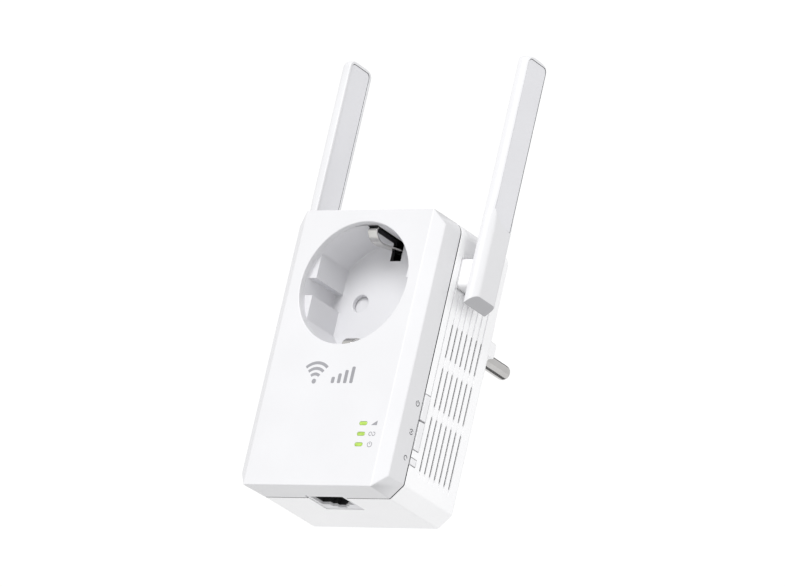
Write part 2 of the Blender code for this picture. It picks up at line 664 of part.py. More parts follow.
def plug_pin(name, side, metal):
    """A round pin with a domed tip, from the contact plate to its free end."""
    x = side * PIN_SPACING / 2
    dome = [(PIN_RADIUS, 0.0010), (PIN_RADIUS * 0.87, 0.0004), (PIN_RADIUS * 0.5, 0.0)]
    bm = bmesh.new()
    rings = [(PIN_RADIUS, CONTACT_STOP_Y + GAP)] + [(r, PIN_LENGTH - back) for r, back in dome]
    loops = []
    for radius, y in rings:
        loops.append([bm.verts.new((x + u, y, v)) for u, v in circle(radius, ROUND)])
    for first, second in zip(loops, loops[1:]):
        for i in range(ROUND):
            j = (i + 1) % ROUND
            bm.faces.new((first[i], first[j], second[j], second[i]))
    bm.faces.new(loops[0])
    bm.faces.new(loops[-1])
    bmesh.ops.recalc_face_normals(bm, faces=bm.faces)
    make(name, bm, metal, smooth=True)


# ---------------------------------------------------------------- electronics
def board_outline():
    """A board that fills the lower casing, narrowed between the screw posts."""
    edge = HALF_WIDTH - WALL - BOARD_MARGIN
    shoulder = POST_LOW_Z + POST_RADIUS + GAP
    tongue = POST_X - POST_RADIUS - GAP
    foot = BOTTOM_Z + WALL + BOARD_MARGIN
    top = BOARD_TOP_Z
    return [
        (-edge, top), (-edge, shoulder), (-tongue, shoulder), (-tongue, foot),
        (tongue, foot), (tongue, shoulder), (edge, shoulder), (edge, top),
    ]


def boards(green):
    outline = board_outline()
    make("main_board", prism_mesh(outline, "Y", MAIN_BOARD_Y, MAIN_BOARD_BACK_Y), green)
    make("power_board", prism_mesh(outline, "Y", POWER_BOARD_Y, POWER_BOARD_Y + BOARD_THICKNESS), green)


def on_power_board(low, high, height):
    """A box that stands on the power board; low and high are (side, drop below the board's top)."""
    stop = POWER_BOARD_Y - GAP
    near = (low[0], stop - height, BOARD_TOP_Z - high[1])
    return box_mesh(near, (high[0], stop, BOARD_TOP_Z - low[1]))


def on_main_board(low, high, height):
    """The same on the back of the main board."""
    start = MAIN_BOARD_BACK_Y + GAP
    near = (low[0], start, BOARD_TOP_Z - high[1])
    return box_mesh(near, (high[0], start + height, BOARD_TOP_Z - low[1]))


def power_parts(ferrite, sleeve, glassy):
    """Transformer, reservoir capacitors and fuse, all behind the jack's back."""
    room = POWER_BOARD_Y - GAP - JACK_BACK_Y - 0.0006
    stop = POWER_BOARD_Y - GAP
    transformer = make("transformer", on_power_board((-0.0200, 0.0080), (-0.0040, 0.0210), room), ferrite)
    low = (-0.0210, stop - room * 0.75, BOARD_TOP_Z - 0.0195)
    winding = box_mesh(low, (-0.0030, stop - room * 0.25, BOARD_TOP_Z - 0.0095))
    join(transformer, winding)
    for name, radius, x, drop, reach in (
        ("input_capacitor", 0.0038, 0.0060, 0.0075, room),
        ("output_capacitor", 0.0030, 0.0160, 0.0210, room * 0.85),
    ):
        can = rod_mesh(radius, "Y", stop - reach, stop, (x, BOARD_TOP_Z - drop), ROUND)
        make(name, can, sleeve, smooth=True)
    fuse = rod_mesh(0.0017, "X", -0.0190, -0.0100, (stop - 0.0017, BOARD_TOP_Z - 0.0040), ROUND_SMALL)
    make("mains_fuse", fuse, glassy, smooth=True)


def radio_parts(tin, black):
    make("radio_shield", on_main_board((-0.0225, 0.0060), (-0.0090, 0.0205), SHIELD_HEIGHT), tin)
    make("processor", on_main_board((-0.0045, 0.0022), (0.0045, 0.0110), CHIP_HEIGHT), black)


def ethernet_jack(black):
    half = JACK_WIDTH / 2
    low = BOTTOM_Z + 0.0002
    body = box_mesh((-half, JACK_START_Y, low), (half, JACK_BACK_Y, low + JACK_LENGTH))
    jack = make("ethernet_jack", body, black)
    near = JACK_START_Y + 0.0010
    deck = near + PORT_DEPTH
    wide, step, narrow = PORT_WIDTH / 2, PORT_WIDTH * 0.27, PORT_WIDTH * 0.14
    ledge, latch = deck + 0.0014, deck + 0.0026
    half_outline = [(wide, near), (wide, deck), (step, deck)]
    half_outline += [(step, ledge), (narrow, ledge), (narrow, latch)]
    outline = half_outline + [(-x, y) for x, y in reversed(half_outline)]
    cut(jack, prism_mesh(outline, "Z", low - WALL, low + JACK_LENGTH - 0.0020))


def jack_contacts(gold):
    """Eight spring wires in one comb, on the wall of the port that is nearest the board."""
    low = BOTTOM_Z + 0.0025
    start = JACK_START_Y + 0.0010 + GAP
    pitch = 0.00102
    top = BOTTOM_Z + 0.0002 + JACK_LENGTH - 0.0020 - GAP
    comb = box_mesh((-4.2 * pitch, start, top - 0.0016), (4.2 * pitch, start + 0.0008, top))
    comb = make("jack_contacts", comb, gold)
    teeth = bmesh.new()
    root = top - 0.0008
    lean = [(start, root), (start + 0.0004, root), (start + 0.0016, low), (start + 0.0012, low)]
    for i in range(8):
        x = (i - 3.5) * pitch
        prism_mesh(lean, "X", x - 0.0002, x + 0.0002, teeth)
    join(comb, teeth)


def light_guide(clear):
    """Three light pipes on one bar, from the board's lamps to the front face."""
    stop = MAIN_BOARD_Y - 0.0012
    x, low = light_places()[0]
    top = light_places()[-1][1]
    bar_start = FRONT_Y + WALL + GAP
    bar = box_mesh((x - 0.0020, bar_start, low - 0.0012), (x + 0.0020, bar_start + 0.0014, top + 0.0012))
    guide = make("light_guide", bar, clear)
    pipes = bmesh.new()
    for place in light_places():
        prism_mesh(pill(LIGHT_LENGTH, LIGHT_HEIGHT, place), "Y", FRONT_Y, stop, pipes)
    join(guide, pipes)


def lamps(lens):
    for name, (x, z) in zip(("lamp_power", "lamp_link", "lamp_signal"), light_places()):
        low = (x - 0.0010, MAIN_BOARD_Y - GAP - 0.0006, z - 0.0005)
        make(name, box_mesh(low, (x + 0.0010, MAIN_BOARD_Y - GAP, z + 0.0005)), lens)


def push_button(name, shape, plastic):
    """A key in the side wall: a cap, a flange inside the wall and a stem to its switch."""
    rise, height, _ = shape
    z = BOTTOM_Z + rise
    wall_x = HALF_WIDTH - WALL
    near, far = BUTTON_Y - BUTTON_DEPTH / 2, BUTTON_Y + BUTTON_DEPTH / 2
    flange_x = wall_x - RUNNING_GAP
    low, high = z - height / 2, z + height / 2
    pivot = (HALF_WIDTH, BUTTON_Y, z)
    cap = box_mesh((flange_x - 0.0010, near, low), (HALF_WIDTH + BUTTON_PROUD, far, high))
    key = make(name, cap, plastic, pivot)
    lip = half = 0.0008
    join(key, box_mesh((flange_x - 0.0010, near - lip, low), (flange_x, far + lip, high)))
    stem_low = (SWITCH_X, BUTTON_Y - half, z - half)
    join(key, box_mesh(stem_low, (flange_x - 0.0005, BUTTON_Y + half, z + half)))


def side_switch(name, shape, black):
    """The switch on the board that a button presses, a travel away from the button's stem."""
    rise, _, travel = shape
    z = BOTTOM_Z + rise
    stop = SWITCH_X - travel - RUNNING_GAP
    start = MAIN_BOARD_BACK_Y + GAP
    half = 0.0014
    body = box_mesh((stop - 0.0052, start, z - half), (stop - 0.0006, BUTTON_Y + half, z + half))
    switch = make(name, body, black)
    half = 0.0007
    plunger_low = (stop - 0.0010, BUTTON_Y - half, z - half)
    join(switch, box_mesh(plunger_low, (stop, BUTTON_Y + half, z + half)))


# ---------------------------------------------------------------- antennas
def hinge_boss(side, white):
    """The block on the casing's side that carries an antenna's axle."""
    half_depth, half_height = BOSS_DEPTH / 2, BOSS_HEIGHT / 2
    outline = slab(half_depth, half_height, (PIVOT_Y, PIVOT_Z))
    block = sided(prism_mesh(outline, "X", HALF_WIDTH + GAP, HALF_WIDTH + BOSS_REACH), side)
    boss = make("hinge_boss_" + SIDE_NAMES[side], block, white)
    neck_stop = HALF_WIDTH + BOSS_REACH / 2
    neck = rod_mesh(NECK_RADIUS, "X", NECK_START_X, neck_stop, (PIVOT_Y, PIVOT_Z), ROUND)
    join(boss, sided(neck, side))
    radius = AXLE_RADIUS + RUNNING_GAP
    bore = rod_mesh(radius, "X", NECK_START_X - WALL, HALF_WIDTH + 2 * BOSS_REACH, (PIVOT_Y, PIVOT_Z))
    cut(boss, sided(bore, side))


def hinge_axle(side, steel):
    """A hollow axle, fixed in the antenna, with a groove for its circlip."""
    centre = (PIVOT_Y, PIVOT_Z)
    pivot = (side * ANTENNA_X, PIVOT_Y, PIVOT_Z)
    body = tube_mesh(AXLE_RADIUS, LEAD_RADIUS + 2 * GAP, "X", AXLE_START_X, AXLE_STOP_X, centre)
    axle = make("hinge_axle_" + SIDE_NAMES[side], sided(body, side), steel, pivot)
    stop = CIRCLIP_X + RING_THICKNESS + GAP
    groove = tube_mesh(AXLE_RADIUS + GAP, GROOVE_RADIUS, "X", CIRCLIP_X - GAP, stop, centre)
    cut(axle, sided(groove, side))


def hinge_rings(side, steel):
    """A friction washer against the boss, and the circlip that holds the axle in."""
    centre = (PIVOT_Y, PIVOT_Z)
    name = SIDE_NAMES[side]
    bore = AXLE_RADIUS + RUNNING_GAP
    washer = tube_mesh(NECK_RADIUS, bore, "X", WASHER_X, WASHER_X + RING_THICKNESS, centre)
    make("friction_washer_" + name, sided(washer, side), steel)
    clip = tube_mesh(NECK_RADIUS, GROOVE_RADIUS + GAP, "X", CIRCLIP_X, CIRCLIP_X + RING_THICKNESS, centre)
    make("axle_circlip_" + name, sided(clip, side), steel, (side * ANTENNA_X, PIVOT_Y, PIVOT_Z))


def antenna_section(height):
    """Depth, thickness and nose of the antenna at a height above its pivot."""
    share = min(max((height - ANTENNA_SHOULDER) / ANTENNA_TAPER, 0.0), 1.0)
    blend = share * share * (3 - 2 * share)
    base = (ANTENNA_BASE_DEPTH, ANTENNA_BASE_THICKNESS, ANTENNA_BASE_NOSE)
    paddle = (ANTENNA_DEPTH, ANTENNA_THICKNESS, ANTENNA_NOSE)
    return [low + (high - low) * blend for low, high in zip(base, paddle)]


def antenna_ring(height, tip_inset=0.0, lift=0.0):
    """A section about the pivot: flat inside, with a long nose in front and a short heel behind.

    lift raises its outer side, for the slanted bottom end.
    """
    depth, thickness, nose = antenna_section(height)
    half = depth / 2 - tip_inset
    heel, edge = ANTENNA_HEEL, ANTENNA_EDGE
    rise = thickness - 2 * edge
    quarters = (
        ((half - heel, thickness - heel), (heel, heel)),
        ((nose - half, thickness - rise), (nose, rise)),
        ((edge - half, edge), (edge, edge)),
        ((half - edge, edge), (edge, edge)),
    )
    points = []
    for quarter, (centre, reach) in enumerate(quarters):
        for u, v in arc(1.0, 90 * quarter, 90 * quarter + 90, 4):
            y, x = centre[0] + u * reach[0], centre[1] + v * reach[1]
            points.append((x, y, height + lift * x / thickness))
    return points


def antenna_mesh():
    """The antenna's outer form: a flat paddle that grows into a thicker base round the pivot."""
    rings = [antenna_ring(-ANTENNA_TAIL, lift=ANTENNA_END_LIFT), antenna_ring(0.0)]
    steps = 6
    for i in range(steps + 1):
        rings.append(antenna_ring(ANTENNA_SHOULDER + ANTENNA_TAPER * i / steps))
    for u, v in arc(1.0, 0, 90, 4):
        rings.append(antenna_ring(ANTENNA_RISE - ANTENNA_TIP * (1 - v), ANTENNA_TIP * (1 - u)))
    bm = bmesh.new()
    loops = []
    for ring in rings:
        loops.append([bm.verts.new((ANTENNA_X + x, PIVOT_Y + y, PIVOT_Z + z)) for x, y, z in ring])
    for first, second in zip(loops, loops[1:]):
        for i in range(len(first)):
            j = (i + 1) % len(first)
            bm.faces.new((first[i], first[j], second[j], second[i]))
    bm.faces.new(loops[0])
    bm.faces.new(loops[-1])
    bmesh.ops.recalc_face_normals(bm, faces=bm.faces)
    return bm


def panel_outline(inset):
    """The flat panel let into each broad face: straight sides, round top, arched foot."""
    half = ANTENNA_DEPTH / 2 - PANEL_RIM - inset
    top = PIVOT_Z + ANTENNA_RISE - PANEL_RIM - inset
    foot = PIVOT_Z + PANEL_FOOT + inset
    corner = PANEL_CORNER
    points = arc(corner, 0, 90, 4, (PIVOT_Y + half - corner, top - corner))
    points += arc(corner, 90, 180, 4, (PIVOT_Y - half + corner, top - corner))
    steps = 8
    for i in range(steps + 1):
        share = i / steps
        points.append((PIVOT_Y - half + 2 * half * share, foot + PANEL_ARCH * (1 - share) ** 2))
    return points


def antenna(side, white, grey, copper):
    name = SIDE_NAMES[side]
    pivot = (side * ANTENNA_X, PIVOT_Y, PIVOT_Z)
    outer_x = ANTENNA_X + ANTENNA_THICKNESS
    shell = make("antenna_shell_" + name, sided(antenna_mesh(), side), white, pivot, smooth=True)
    centre = (PIVOT_Y, PIVOT_Z)
    bore = rod_mesh(AXLE_RADIUS + GAP, "X", ANTENNA_X - WALL, AXLE_STOP_X + GAP, centre, ROUND)
    cut(shell, sided(bore, side))
    pocket = PANEL_THICKNESS + GAP
    for start, stop in ((ANTENNA_X - WALL, ANTENNA_X + pocket), (outer_x - pocket, outer_x + WALL)):
        cut(shell, sided(prism_mesh(panel_outline(0), "X", start, stop), side))
    window = prism_mesh(panel_outline(PANEL_LEDGE), "X", ANTENNA_X - WALL, outer_x + WALL)
    cut(shell, sided(window, side))
    middle_x = ANTENNA_X + ANTENNA_THICKNESS / 2
    half = CHANNEL_WIDTH / 2
    channel_low = (middle_x - LEAD_RADIUS, PIVOT_Y - half, PIVOT_Z)
    channel_top = PIVOT_Z + PANEL_FOOT + PANEL_ARCH + PANEL_LEDGE
    cut(shell, sided(box_mesh(channel_low, (middle_x + LEAD_RADIUS, PIVOT_Y + half, channel_top)), side))
    inner_panel = prism_mesh(panel_outline(GAP), "X", ANTENNA_X, ANTENNA_X + PANEL_THICKNESS)
    make(f"antenna_{name}_inner_panel", sided(inner_panel, side), grey, pivot)
    outer_panel = prism_mesh(panel_outline(GAP), "X", outer_x - PANEL_THICKNESS, outer_x)
    make(f"antenna_{name}_outer_panel", sided(outer_panel, side), grey, pivot)
    half_board = ELEMENT_THICKNESS / 2
    outline = panel_outline(PANEL_LEDGE + GAP)
    element = prism_mesh(outline, "X", middle_x - half_board, middle_x + half_board)
    make("antenna_element_" + name, sided(element, side), copper, pivot)


def smooth_path(points, steps):
    """A Catmull-Rom curve through the points."""
    points = [Vector(p) for p in points]
    points = [2 * points[0] - points[1]] + points + [2 * points[-1] - points[-2]]
    route = []
    for a, b, c, d in zip(points, points[1:], points[2:], points[3:]):
        for i in range(steps):
            t = i / steps
            squared = (2 * a - 5 * b + 4 * c - d) * t ** 2
            cubed = (3 * b - a - 3 * c + d) * t ** 3
            route.append(0.5 * (2 * b + (c - a) * t + squared + cubed))
    route.append(points[-2])
    return route


def coax_lead(side, grey):
    """The lead from an antenna's axle, down behind the socket, to the main board."""
    x = AXLE_START_X - 0.0035
    behind = CUP_BACK_Y + 0.0025
    end_y = MAIN_BOARD_BACK_Y + 0.0016
    end_z = BOARD_TOP_Z - 0.0030
    route = smooth_path(
        [
            (side * ANTENNA_X, PIVOT_Y, PIVOT_Z),
            (side * (AXLE_START_X - 0.0005), PIVOT_Y, PIVOT_Z),
            (side * x, PIVOT_Y, PIVOT_Z - 0.0030),
            (side * x, behind, SOCKET_Z - 0.0040),
            (side * x, behind, BOARD_TOP_Z + 0.0060),
            (side * x, (behind + end_y) / 2, BOARD_TOP_Z + 0.0010),
            (side * x, end_y + 0.0030, end_z),
            (side * x, end_y, end_z),
        ],
        6,
    )
    lead("coax_lead_" + SIDE_NAMES[side], route, LEAD_RADIUS, grey)


def lead(name, route, radius, jacket):
    """An insulated wire along a route."""
    curve = bpy.data.curves.new(name, "CURVE")
    curve.dimensions = "3D"
    curve.bevel_depth = radius
    curve.bevel_resolution = 2
    curve.use_fill_caps = True
    spline = curve.splines.new("POLY")
    spline.points.add(len(route) - 1)
    for point, place in zip(spline.points, route):
        point.co = (*place, 1.0)
    curve.materials.append(jacket)
    bpy.context.scene.collection.objects.link(bpy.data.objects.new(name, curve))


def mains_leads(live, neutral, earth):
    """From the contact plates to the power board, and from strap to strap."""
    y = POWER_BOARD_Y
    start = -PIN_RADIUS - CONTACT_LEAF - GAP
    stop = BOARD_TOP_Z + GAP
    for name, side, jacket in (("line_lead", 1, live), ("neutral_lead", -1, neutral)):
        x = side * PIN_SPACING / 2
        middle = (x + side * 0.0012, y - 0.0012, (start + stop) / 2)
        lead(name, smooth_path([(x, y, start), middle, (x, y, stop)], 6), MAINS_LEAD_RADIUS, jacket)
    near = STRAP_BAR_Y + CLIP_THICKNESS / 2 + GAP
    far = EARTH_BAR_Y - GAP
    z = SOCKET_Z - 0.0085
    route = smooth_path([(0, near, z), (0.0006, (near + far) / 2, z - 0.0012), (0, far, z)], 6)
    lead("earth_lead", route, MAINS_LEAD_RADIUS, earth)


# ---------------------------------------------------------------- assembly
def build():
    for obj in list(bpy.data.objects):
        bpy.data.objects.remove(obj, do_unlink=True)
    white = material("white_casing", (0.86, 0.86, 0.88), 0.28)
    insert = material("socket_white", (0.82, 0.82, 0.84), 0.38)
    key_white = material("button_white", (0.80, 0.80, 0.82), 0.34)
    panel = material("antenna_panel", (0.62, 0.62, 0.64), 0.42)
    nickel = material("nickel", (0.72, 0.71, 0.69), 0.18, 1.0)
    brass = material("brass", (0.78, 0.60, 0.30), 0.30, 1.0)
    steel = material("zinc_steel", (0.60, 0.60, 0.61), 0.35, 1.0)
    gold = material("gold_plate", (0.85, 0.65, 0.30), 0.22, 1.0)
    tin = material("tin_plate", (0.66, 0.66, 0.67), 0.40, 1.0)
    resin = material("board_green", (0.05, 0.22, 0.11), 0.45)
    copper = material("antenna_board", (0.10, 0.24, 0.14), 0.45)
    black = material("black_plastic", (0.02, 0.02, 0.022), 0.45)
    ferrite = material("ferrite", (0.06, 0.055, 0.05), 0.7)
    sleeve = material("capacitor_sleeve", (0.04, 0.05, 0.12), 0.35)
    ceramic = material("fuse_tube", (0.75, 0.72, 0.66), 0.30)
    clear = material("light_guide", (0.56, 0.66, 0.30), 0.20)
    lens = material("lamp_lens", (0.85, 0.86, 0.70), 0.30)
    jacket = material("lead_jacket", (0.35, 0.35, 0.36), 0.5)
    brown = material("lead_brown", (0.22, 0.10, 0.05), 0.5)
    blue = material("lead_blue", (0.05, 0.14, 0.45), 0.5)
    green = material("lead_green_yellow", (0.35, 0.55, 0.10), 0.5)
    front_cover(white)
    rear_housing(white)
    screws(steel)
    socket_cup(insert)
    socket_shutter(insert)
    shutter_spring(steel)
    earth_strap(nickel)
    pin_contact("line_contact", 1, brass)
    pin_contact("neutral_contact", -1, brass)
    plug_base(white)
    plug_earth_strap(nickel)
    plug_pin("line_pin", 1, nickel)
    plug_pin("neutral_pin", -1, nickel)
    mains_leads(brown, blue, green)
    boards(resin)
    power_parts(ferrite, sleeve, ceramic)
    radio_parts(tin, black)
    ethernet_jack(black)
    jack_contacts(gold)
    light_guide(clear)
    lamps(lens)
    for name, shape in (("power", POWER_BUTTON), ("pairing", PAIRING_BUTTON), ("reset", RESET_BUTTON)):
        push_button(name + "_button", shape, key_white)
        side_switch(name + "_switch", shape, black)
    for side in (1, -1):
        hinge_boss(side, white)
        hinge_axle(side, steel)
        hinge_rings(side, steel)
        antenna(side, white, panel, copper)
        coax_lead(side, jacket)


build()
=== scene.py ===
import math

import bmesh
import bpy
from mathutils import Matrix, Vector


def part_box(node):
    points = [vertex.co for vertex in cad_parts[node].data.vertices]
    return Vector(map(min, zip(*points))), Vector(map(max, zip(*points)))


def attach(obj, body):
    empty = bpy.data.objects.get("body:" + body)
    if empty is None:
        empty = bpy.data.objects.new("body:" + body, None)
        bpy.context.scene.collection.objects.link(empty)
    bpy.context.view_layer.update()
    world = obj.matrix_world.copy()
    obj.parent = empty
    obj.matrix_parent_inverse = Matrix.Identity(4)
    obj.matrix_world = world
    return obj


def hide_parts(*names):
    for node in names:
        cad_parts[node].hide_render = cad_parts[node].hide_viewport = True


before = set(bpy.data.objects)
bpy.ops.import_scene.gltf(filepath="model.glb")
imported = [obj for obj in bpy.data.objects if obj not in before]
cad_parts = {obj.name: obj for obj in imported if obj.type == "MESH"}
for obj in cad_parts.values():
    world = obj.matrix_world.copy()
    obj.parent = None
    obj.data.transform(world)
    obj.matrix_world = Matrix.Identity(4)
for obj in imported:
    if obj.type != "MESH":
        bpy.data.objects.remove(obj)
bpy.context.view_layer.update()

# ---------- places, from the frame
cover_low, cover_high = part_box("front_cover")
housing_low, housing_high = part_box("rear_housing")
cup_low, cup_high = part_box("socket_cup")
jack_low, jack_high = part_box("ethernet_jack")
key_low, key_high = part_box("power_button")
antenna_low, antenna_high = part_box("antenna_shell_right")


def middle(node):
    low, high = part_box(node)
    return (low + high) / 2


HALF_WIDTH = housing_high.x
FRONT_Y = cover_low.y
COVER_BACK_Y = cover_high.y
HOUSING_FRONT_Y = housing_low.y
BACK_Y = housing_high.y
TOP_Z = housing_high.z
BOTTOM_Z = housing_low.z
SOCKET_Z = middle("socket_shutter").z
PIVOT = middle("hinge_boss_right")
PIVOT_Y, PIVOT_Z = PIVOT.y, PIVOT.z
HINGE_PLACE = (PIVOT_Y, PIVOT_Z)
ANTENNA_X = antenna_low.x
ANTENNA_LOW_Z = antenna_low.z
ANTENNA_HIGH_Z = antenna_high.z
LAMPS = ("lamp_power", "lamp_link", "lamp_signal")
KEYS = ("power_button", "pairing_button", "reset_button")
SIDES = ((1, "right"), (-1, "left"))

# ---------- sizes
WALL = 0.0020
GAP = 0.0003
KEY_LIP = 0.0008
KEY_NEAR_Y = key_low.y + KEY_LIP
KEY_FAR_Y = key_high.y - KEY_LIP
CUP_FLOOR_Y = FRONT_Y + 0.0175
CUP_WALL = 0.0014
CUP_FLOOR = 0.0015
RECESS_RADIUS = cup_high.x - CUP_WALL
FACE_SINK = 0.00003         # the cover's face lies this far behind the printed marks
LOW_CORNER_WIDTH = 0.0041
LOW_CORNER_HEIGHT = 0.0044
TOP_CORNER = 0.0044
SIDE_BEVEL_WIDTH = 0.0046
SIDE_BEVEL_DEPTH = 0.0027
BEVEL_FLARE = 0.0009        # the bevel's inner edge curves out this far at its ends
BEVEL_FLARE_RUN = 0.0042
GUIDE_SETBACK = 0.0031
GUIDE_THICKNESS = 0.00295
GUIDE_HALF_GAP = 0.0028
PIN_SPACING = 0.0190
PIN_HOLE_RADIUS = 0.0028
POST_RADIUS = 0.0028
PORT_WIDTH = 0.0120         # the opening of the Ethernet port
PORT_DEPTH = 0.0068
HINGE_BORE = 0.0025
CLIP_WIDTH = 0.0034
CLIP_RISE = 0.00445
CLIP_THICKNESS = 0.0006
SLOT_PITCH = 0.00263
SLOT_WIDTH = 0.00075
SLOT_START = 0.0144
SLOT_COUNT = 8
SLOT_ROWS = ((0.0111, 0.0284), (0.0315, 0.0440), (0.0474, 0.0580))
GROOVE_DEPTH = 0.00035
GROOVE_RUNOUT = 0.0022
POCKET_DEPTH = 0.0011       # the dish round a hinge block
PLUG_RADIUS = 0.0186
PLUG_GROOVE = 0.0023
PLUG_HALF_RIB = 0.0025
ANTENNA_BASE = (0.0119, 0.0037, 0.0030)      # depth, thickness and nose at the base
ANTENNA_PADDLE = (0.0117, 0.0035, 0.0014)
ANTENNA_HEEL = 0.0016
ANTENNA_EDGE = 0.0004
ANTENNA_TIP = 0.0026
ANTENNA_END_LIFT = 0.0030
ANTENNA_SHOULDER = 0.0130
ANTENNA_TAPER = 0.0140
PANEL_RIM = 0.0010
PANEL_CORNER = 0.0016
PANEL_FOOT = 0.0165
PANEL_ARCH = 0.0045
PANEL_THICKNESS = 0.0007
PANEL_SINK = 0.00018
PANEL_SEAT = 0.00012        # the gap round a panel in its pocket
PANEL_LEDGE = 0.0008

# ---------- camera, lights and floor
CAMERA_RIGHT = Vector((0.8053, 0.5529, 0.2138))
CAMERA_UP = Vector((0.005, -0.367, 0.9302))
CAMERA_BACK = Vector((0.5927, -0.7481, -0.2984))
CAMERA_DISTANCE = 2.081
CAMERA_LENS = 317.2
AIM_RIGHT = 0.01207         # from the middle of the socket's mouth
AIM_UP = -0.00329
WORLD_LIGHT = 0.80
WORLD_SEEN = 1.05
SUNS = (                    # name, where it stands, strength, width in degrees
    ("key", (0.12, -0.85, 0.50), 1.80, 30),
    ("right", (0.95, 0.1, 0.2), 0.42, 40),
    ("below", (0.25, -0.3, -0.95), 1.0, 60),
)
FLAGS = (                   # dark squares that only the plated pieces reflect
    ("flag_above", (-0.28, 0.60, 0.40), 0.16),
    ("flag_below", (-0.12, 0.60, -0.50), 0.20),
)
FLOOR_HALF = 6.0
FLOOR_DROP = 0.75


# ---------- outlines
def rounded(corners, grow=0.0, steps=4):
    """A closed outline with rounded corners, moved outwards by grow.

    corners holds (u, v, radius), in order round the outline.
    """
    points = []
    count = len(corners)
    places = [Vector(c[:2]) for c in corners]
    turn = sum(places[i].x * places[(i + 1) % count].y - places[i].y * places[(i + 1) % count].x
               for i in range(count))
    moved = []
    for i, here in enumerate(places):
        before = (places[i - 1] - here).normalized()
        after = (places[(i + 1) % count] - here).normalized()
        first = Vector((-before.y, before.x)) * (1 if turn > 0 else -1)
        second = Vector((after.y, -after.x)) * (1 if turn > 0 else -1)
        bisector = (first + second).normalized()
        moved.append(here + bisector * (grow / max(bisector.dot(first), 0.2)))
    for i, here in enumerate(moved):
        before = moved[i - 1] - here
        after = moved[(i + 1) % count] - here
        half = before.angle(after) / 2
        cross = before.x * after.y - before.y * after.x
        convex = (cross < 0) == (turn > 0)
        radius = max(corners[i][2] + (grow if convex else -grow), 1e-5)
        room = min(before.length, after.length) * 0.49
        reach = min(radius / math.tan(half), room)
        centre = here + (before.normalized() + after.normalized()).normalized() * (reach / math.cos(half))
        start = here + before.normalized() * reach - centre
        stop = here + after.normalized() * reach - centre
        first = math.atan2(start.y, start.x)
        sweep = math.atan2(start.x * stop.y - start.y * stop.x, start.dot(stop))
        for k in range(steps + 1):
            a = first + sweep * k / steps
            points.append((centre.x + start.length * math.cos(a), centre.y + start.length * math.sin(a)))
    return points


def arc(radius, first_deg, last_deg, steps, centre=(0.0, 0.0)):
    turns = [math.radians(first_deg + (last_deg - first_deg) * i / steps) for i in range(steps + 1)]
    return [(centre[0] + radius * math.cos(a), centre[1] + radius * math.sin(a)) for a in turns]


def disc(radius, centre=(0.0, 0.0), sides=64):
    return lambda grow=0.0: arc(radius + grow, 0, 360, sides, centre)[:-1]


def block(half_u, half_v, centre=(0.0, 0.0), radius=0.0002, steps=4):
    u, v = centre
    corners = [(u - half_u, v - half_v, radius), (u + half_u, v - half_v, radius),
               (u + half_u, v + half_v, radius), (u - half_u, v + half_v, radius)]
    return lambda grow=0.0: rounded(corners, grow, steps)


def polygon(corners, steps=4):
    return lambda grow=0.0: rounded(corners, grow, steps)


def cross(arm, half, centre):
    quarter = [(arm, half), (half, half), (half, arm)]
    corners = []
    for turn in range(4):
        for u, v in quarter:
            for _ in range(turn):
                u, v = -v, u
            corners.append((centre[0] + u, centre[1] + v, 0.00005))
    return lambda grow=0.0: rounded(corners, grow, 2)


def guided(radius, chord, half_middle, centre):
    """A circle with a flat land on each side, split by a channel or a rib at mid height."""
    def outline(grow=0.0):
        r, c, h = radius + grow, chord + grow, half_middle + grow
        land = math.degrees(math.acos(c / r))
        mid = math.degrees(math.asin(h / r))
        points = []
        for flip, turn in ((1, 0), (-1, 180)):
            points += arc(r, turn - mid, turn + mid, 8)
            points.append((flip * c, flip * h))
            points += arc(r, turn + land, turn + 180 - land, 40)
            points.append((-flip * c, flip * h))
        return [(centre[0] + u, centre[1] + v) for u, v in points]
    return outline


def casing_outline(grow=0.0, steps=8):
    low_x = HALF_WIDTH - LOW_CORNER_WIDTH
    low_z = BOTTOM_Z + LOW_CORNER_HEIGHT
    soft = 0.0012
    corners = [
        (HALF_WIDTH, low_z, soft), (HALF_WIDTH, TOP_Z, TOP_CORNER),
        (-HALF_WIDTH, TOP_Z, TOP_CORNER), (-HALF_WIDTH, low_z, soft),
        (-low_x, BOTTOM_Z, soft), (low_x, BOTTOM_Z, soft),
    ]
    return rounded(corners, grow, steps)


# ---------- meshes
def at(axis, u, v, w):
    return Vector({"X": (w, u, v), "Y": (u, w, v), "Z": (u, v, w)}[axis])


def loft(rings, bm=None, finishes=None):
    """A closed skin through rings of equally many points; finishes gives each band's material."""
    bm = bm or bmesh.new()
    loops = [[bm.verts.new(p) for p in ring] for ring in rings]
    faces = []
    for number, (first, second) in enumerate(zip(loops, loops[1:])):
        for i in range(len(first)):
            j = (i + 1) % len(first)
            face = bm.faces.new((first[i], first[j], second[j], second[i]))
            face.material_index = finishes[number] if finishes else 0
            faces.append(face)
    faces.append(bm.faces.new(loops[0]))
    faces.append(bm.faces.new(loops[-1]))
    if finishes:
        faces[-2].material_index = finishes[0]
        faces[-1].material_index = finishes[-1]
    bmesh.ops.recalc_face_normals(bm, faces=faces)
    return bm


def stack(axis, outline, levels, bm=None, finishes=None):
    """A loft along an axis; levels holds (place, growth of the outline)."""
    rings = [[at(axis, u, v, w) for u, v in outline(grow)] for w, grow in levels]
    return loft(rings, bm, finishes)


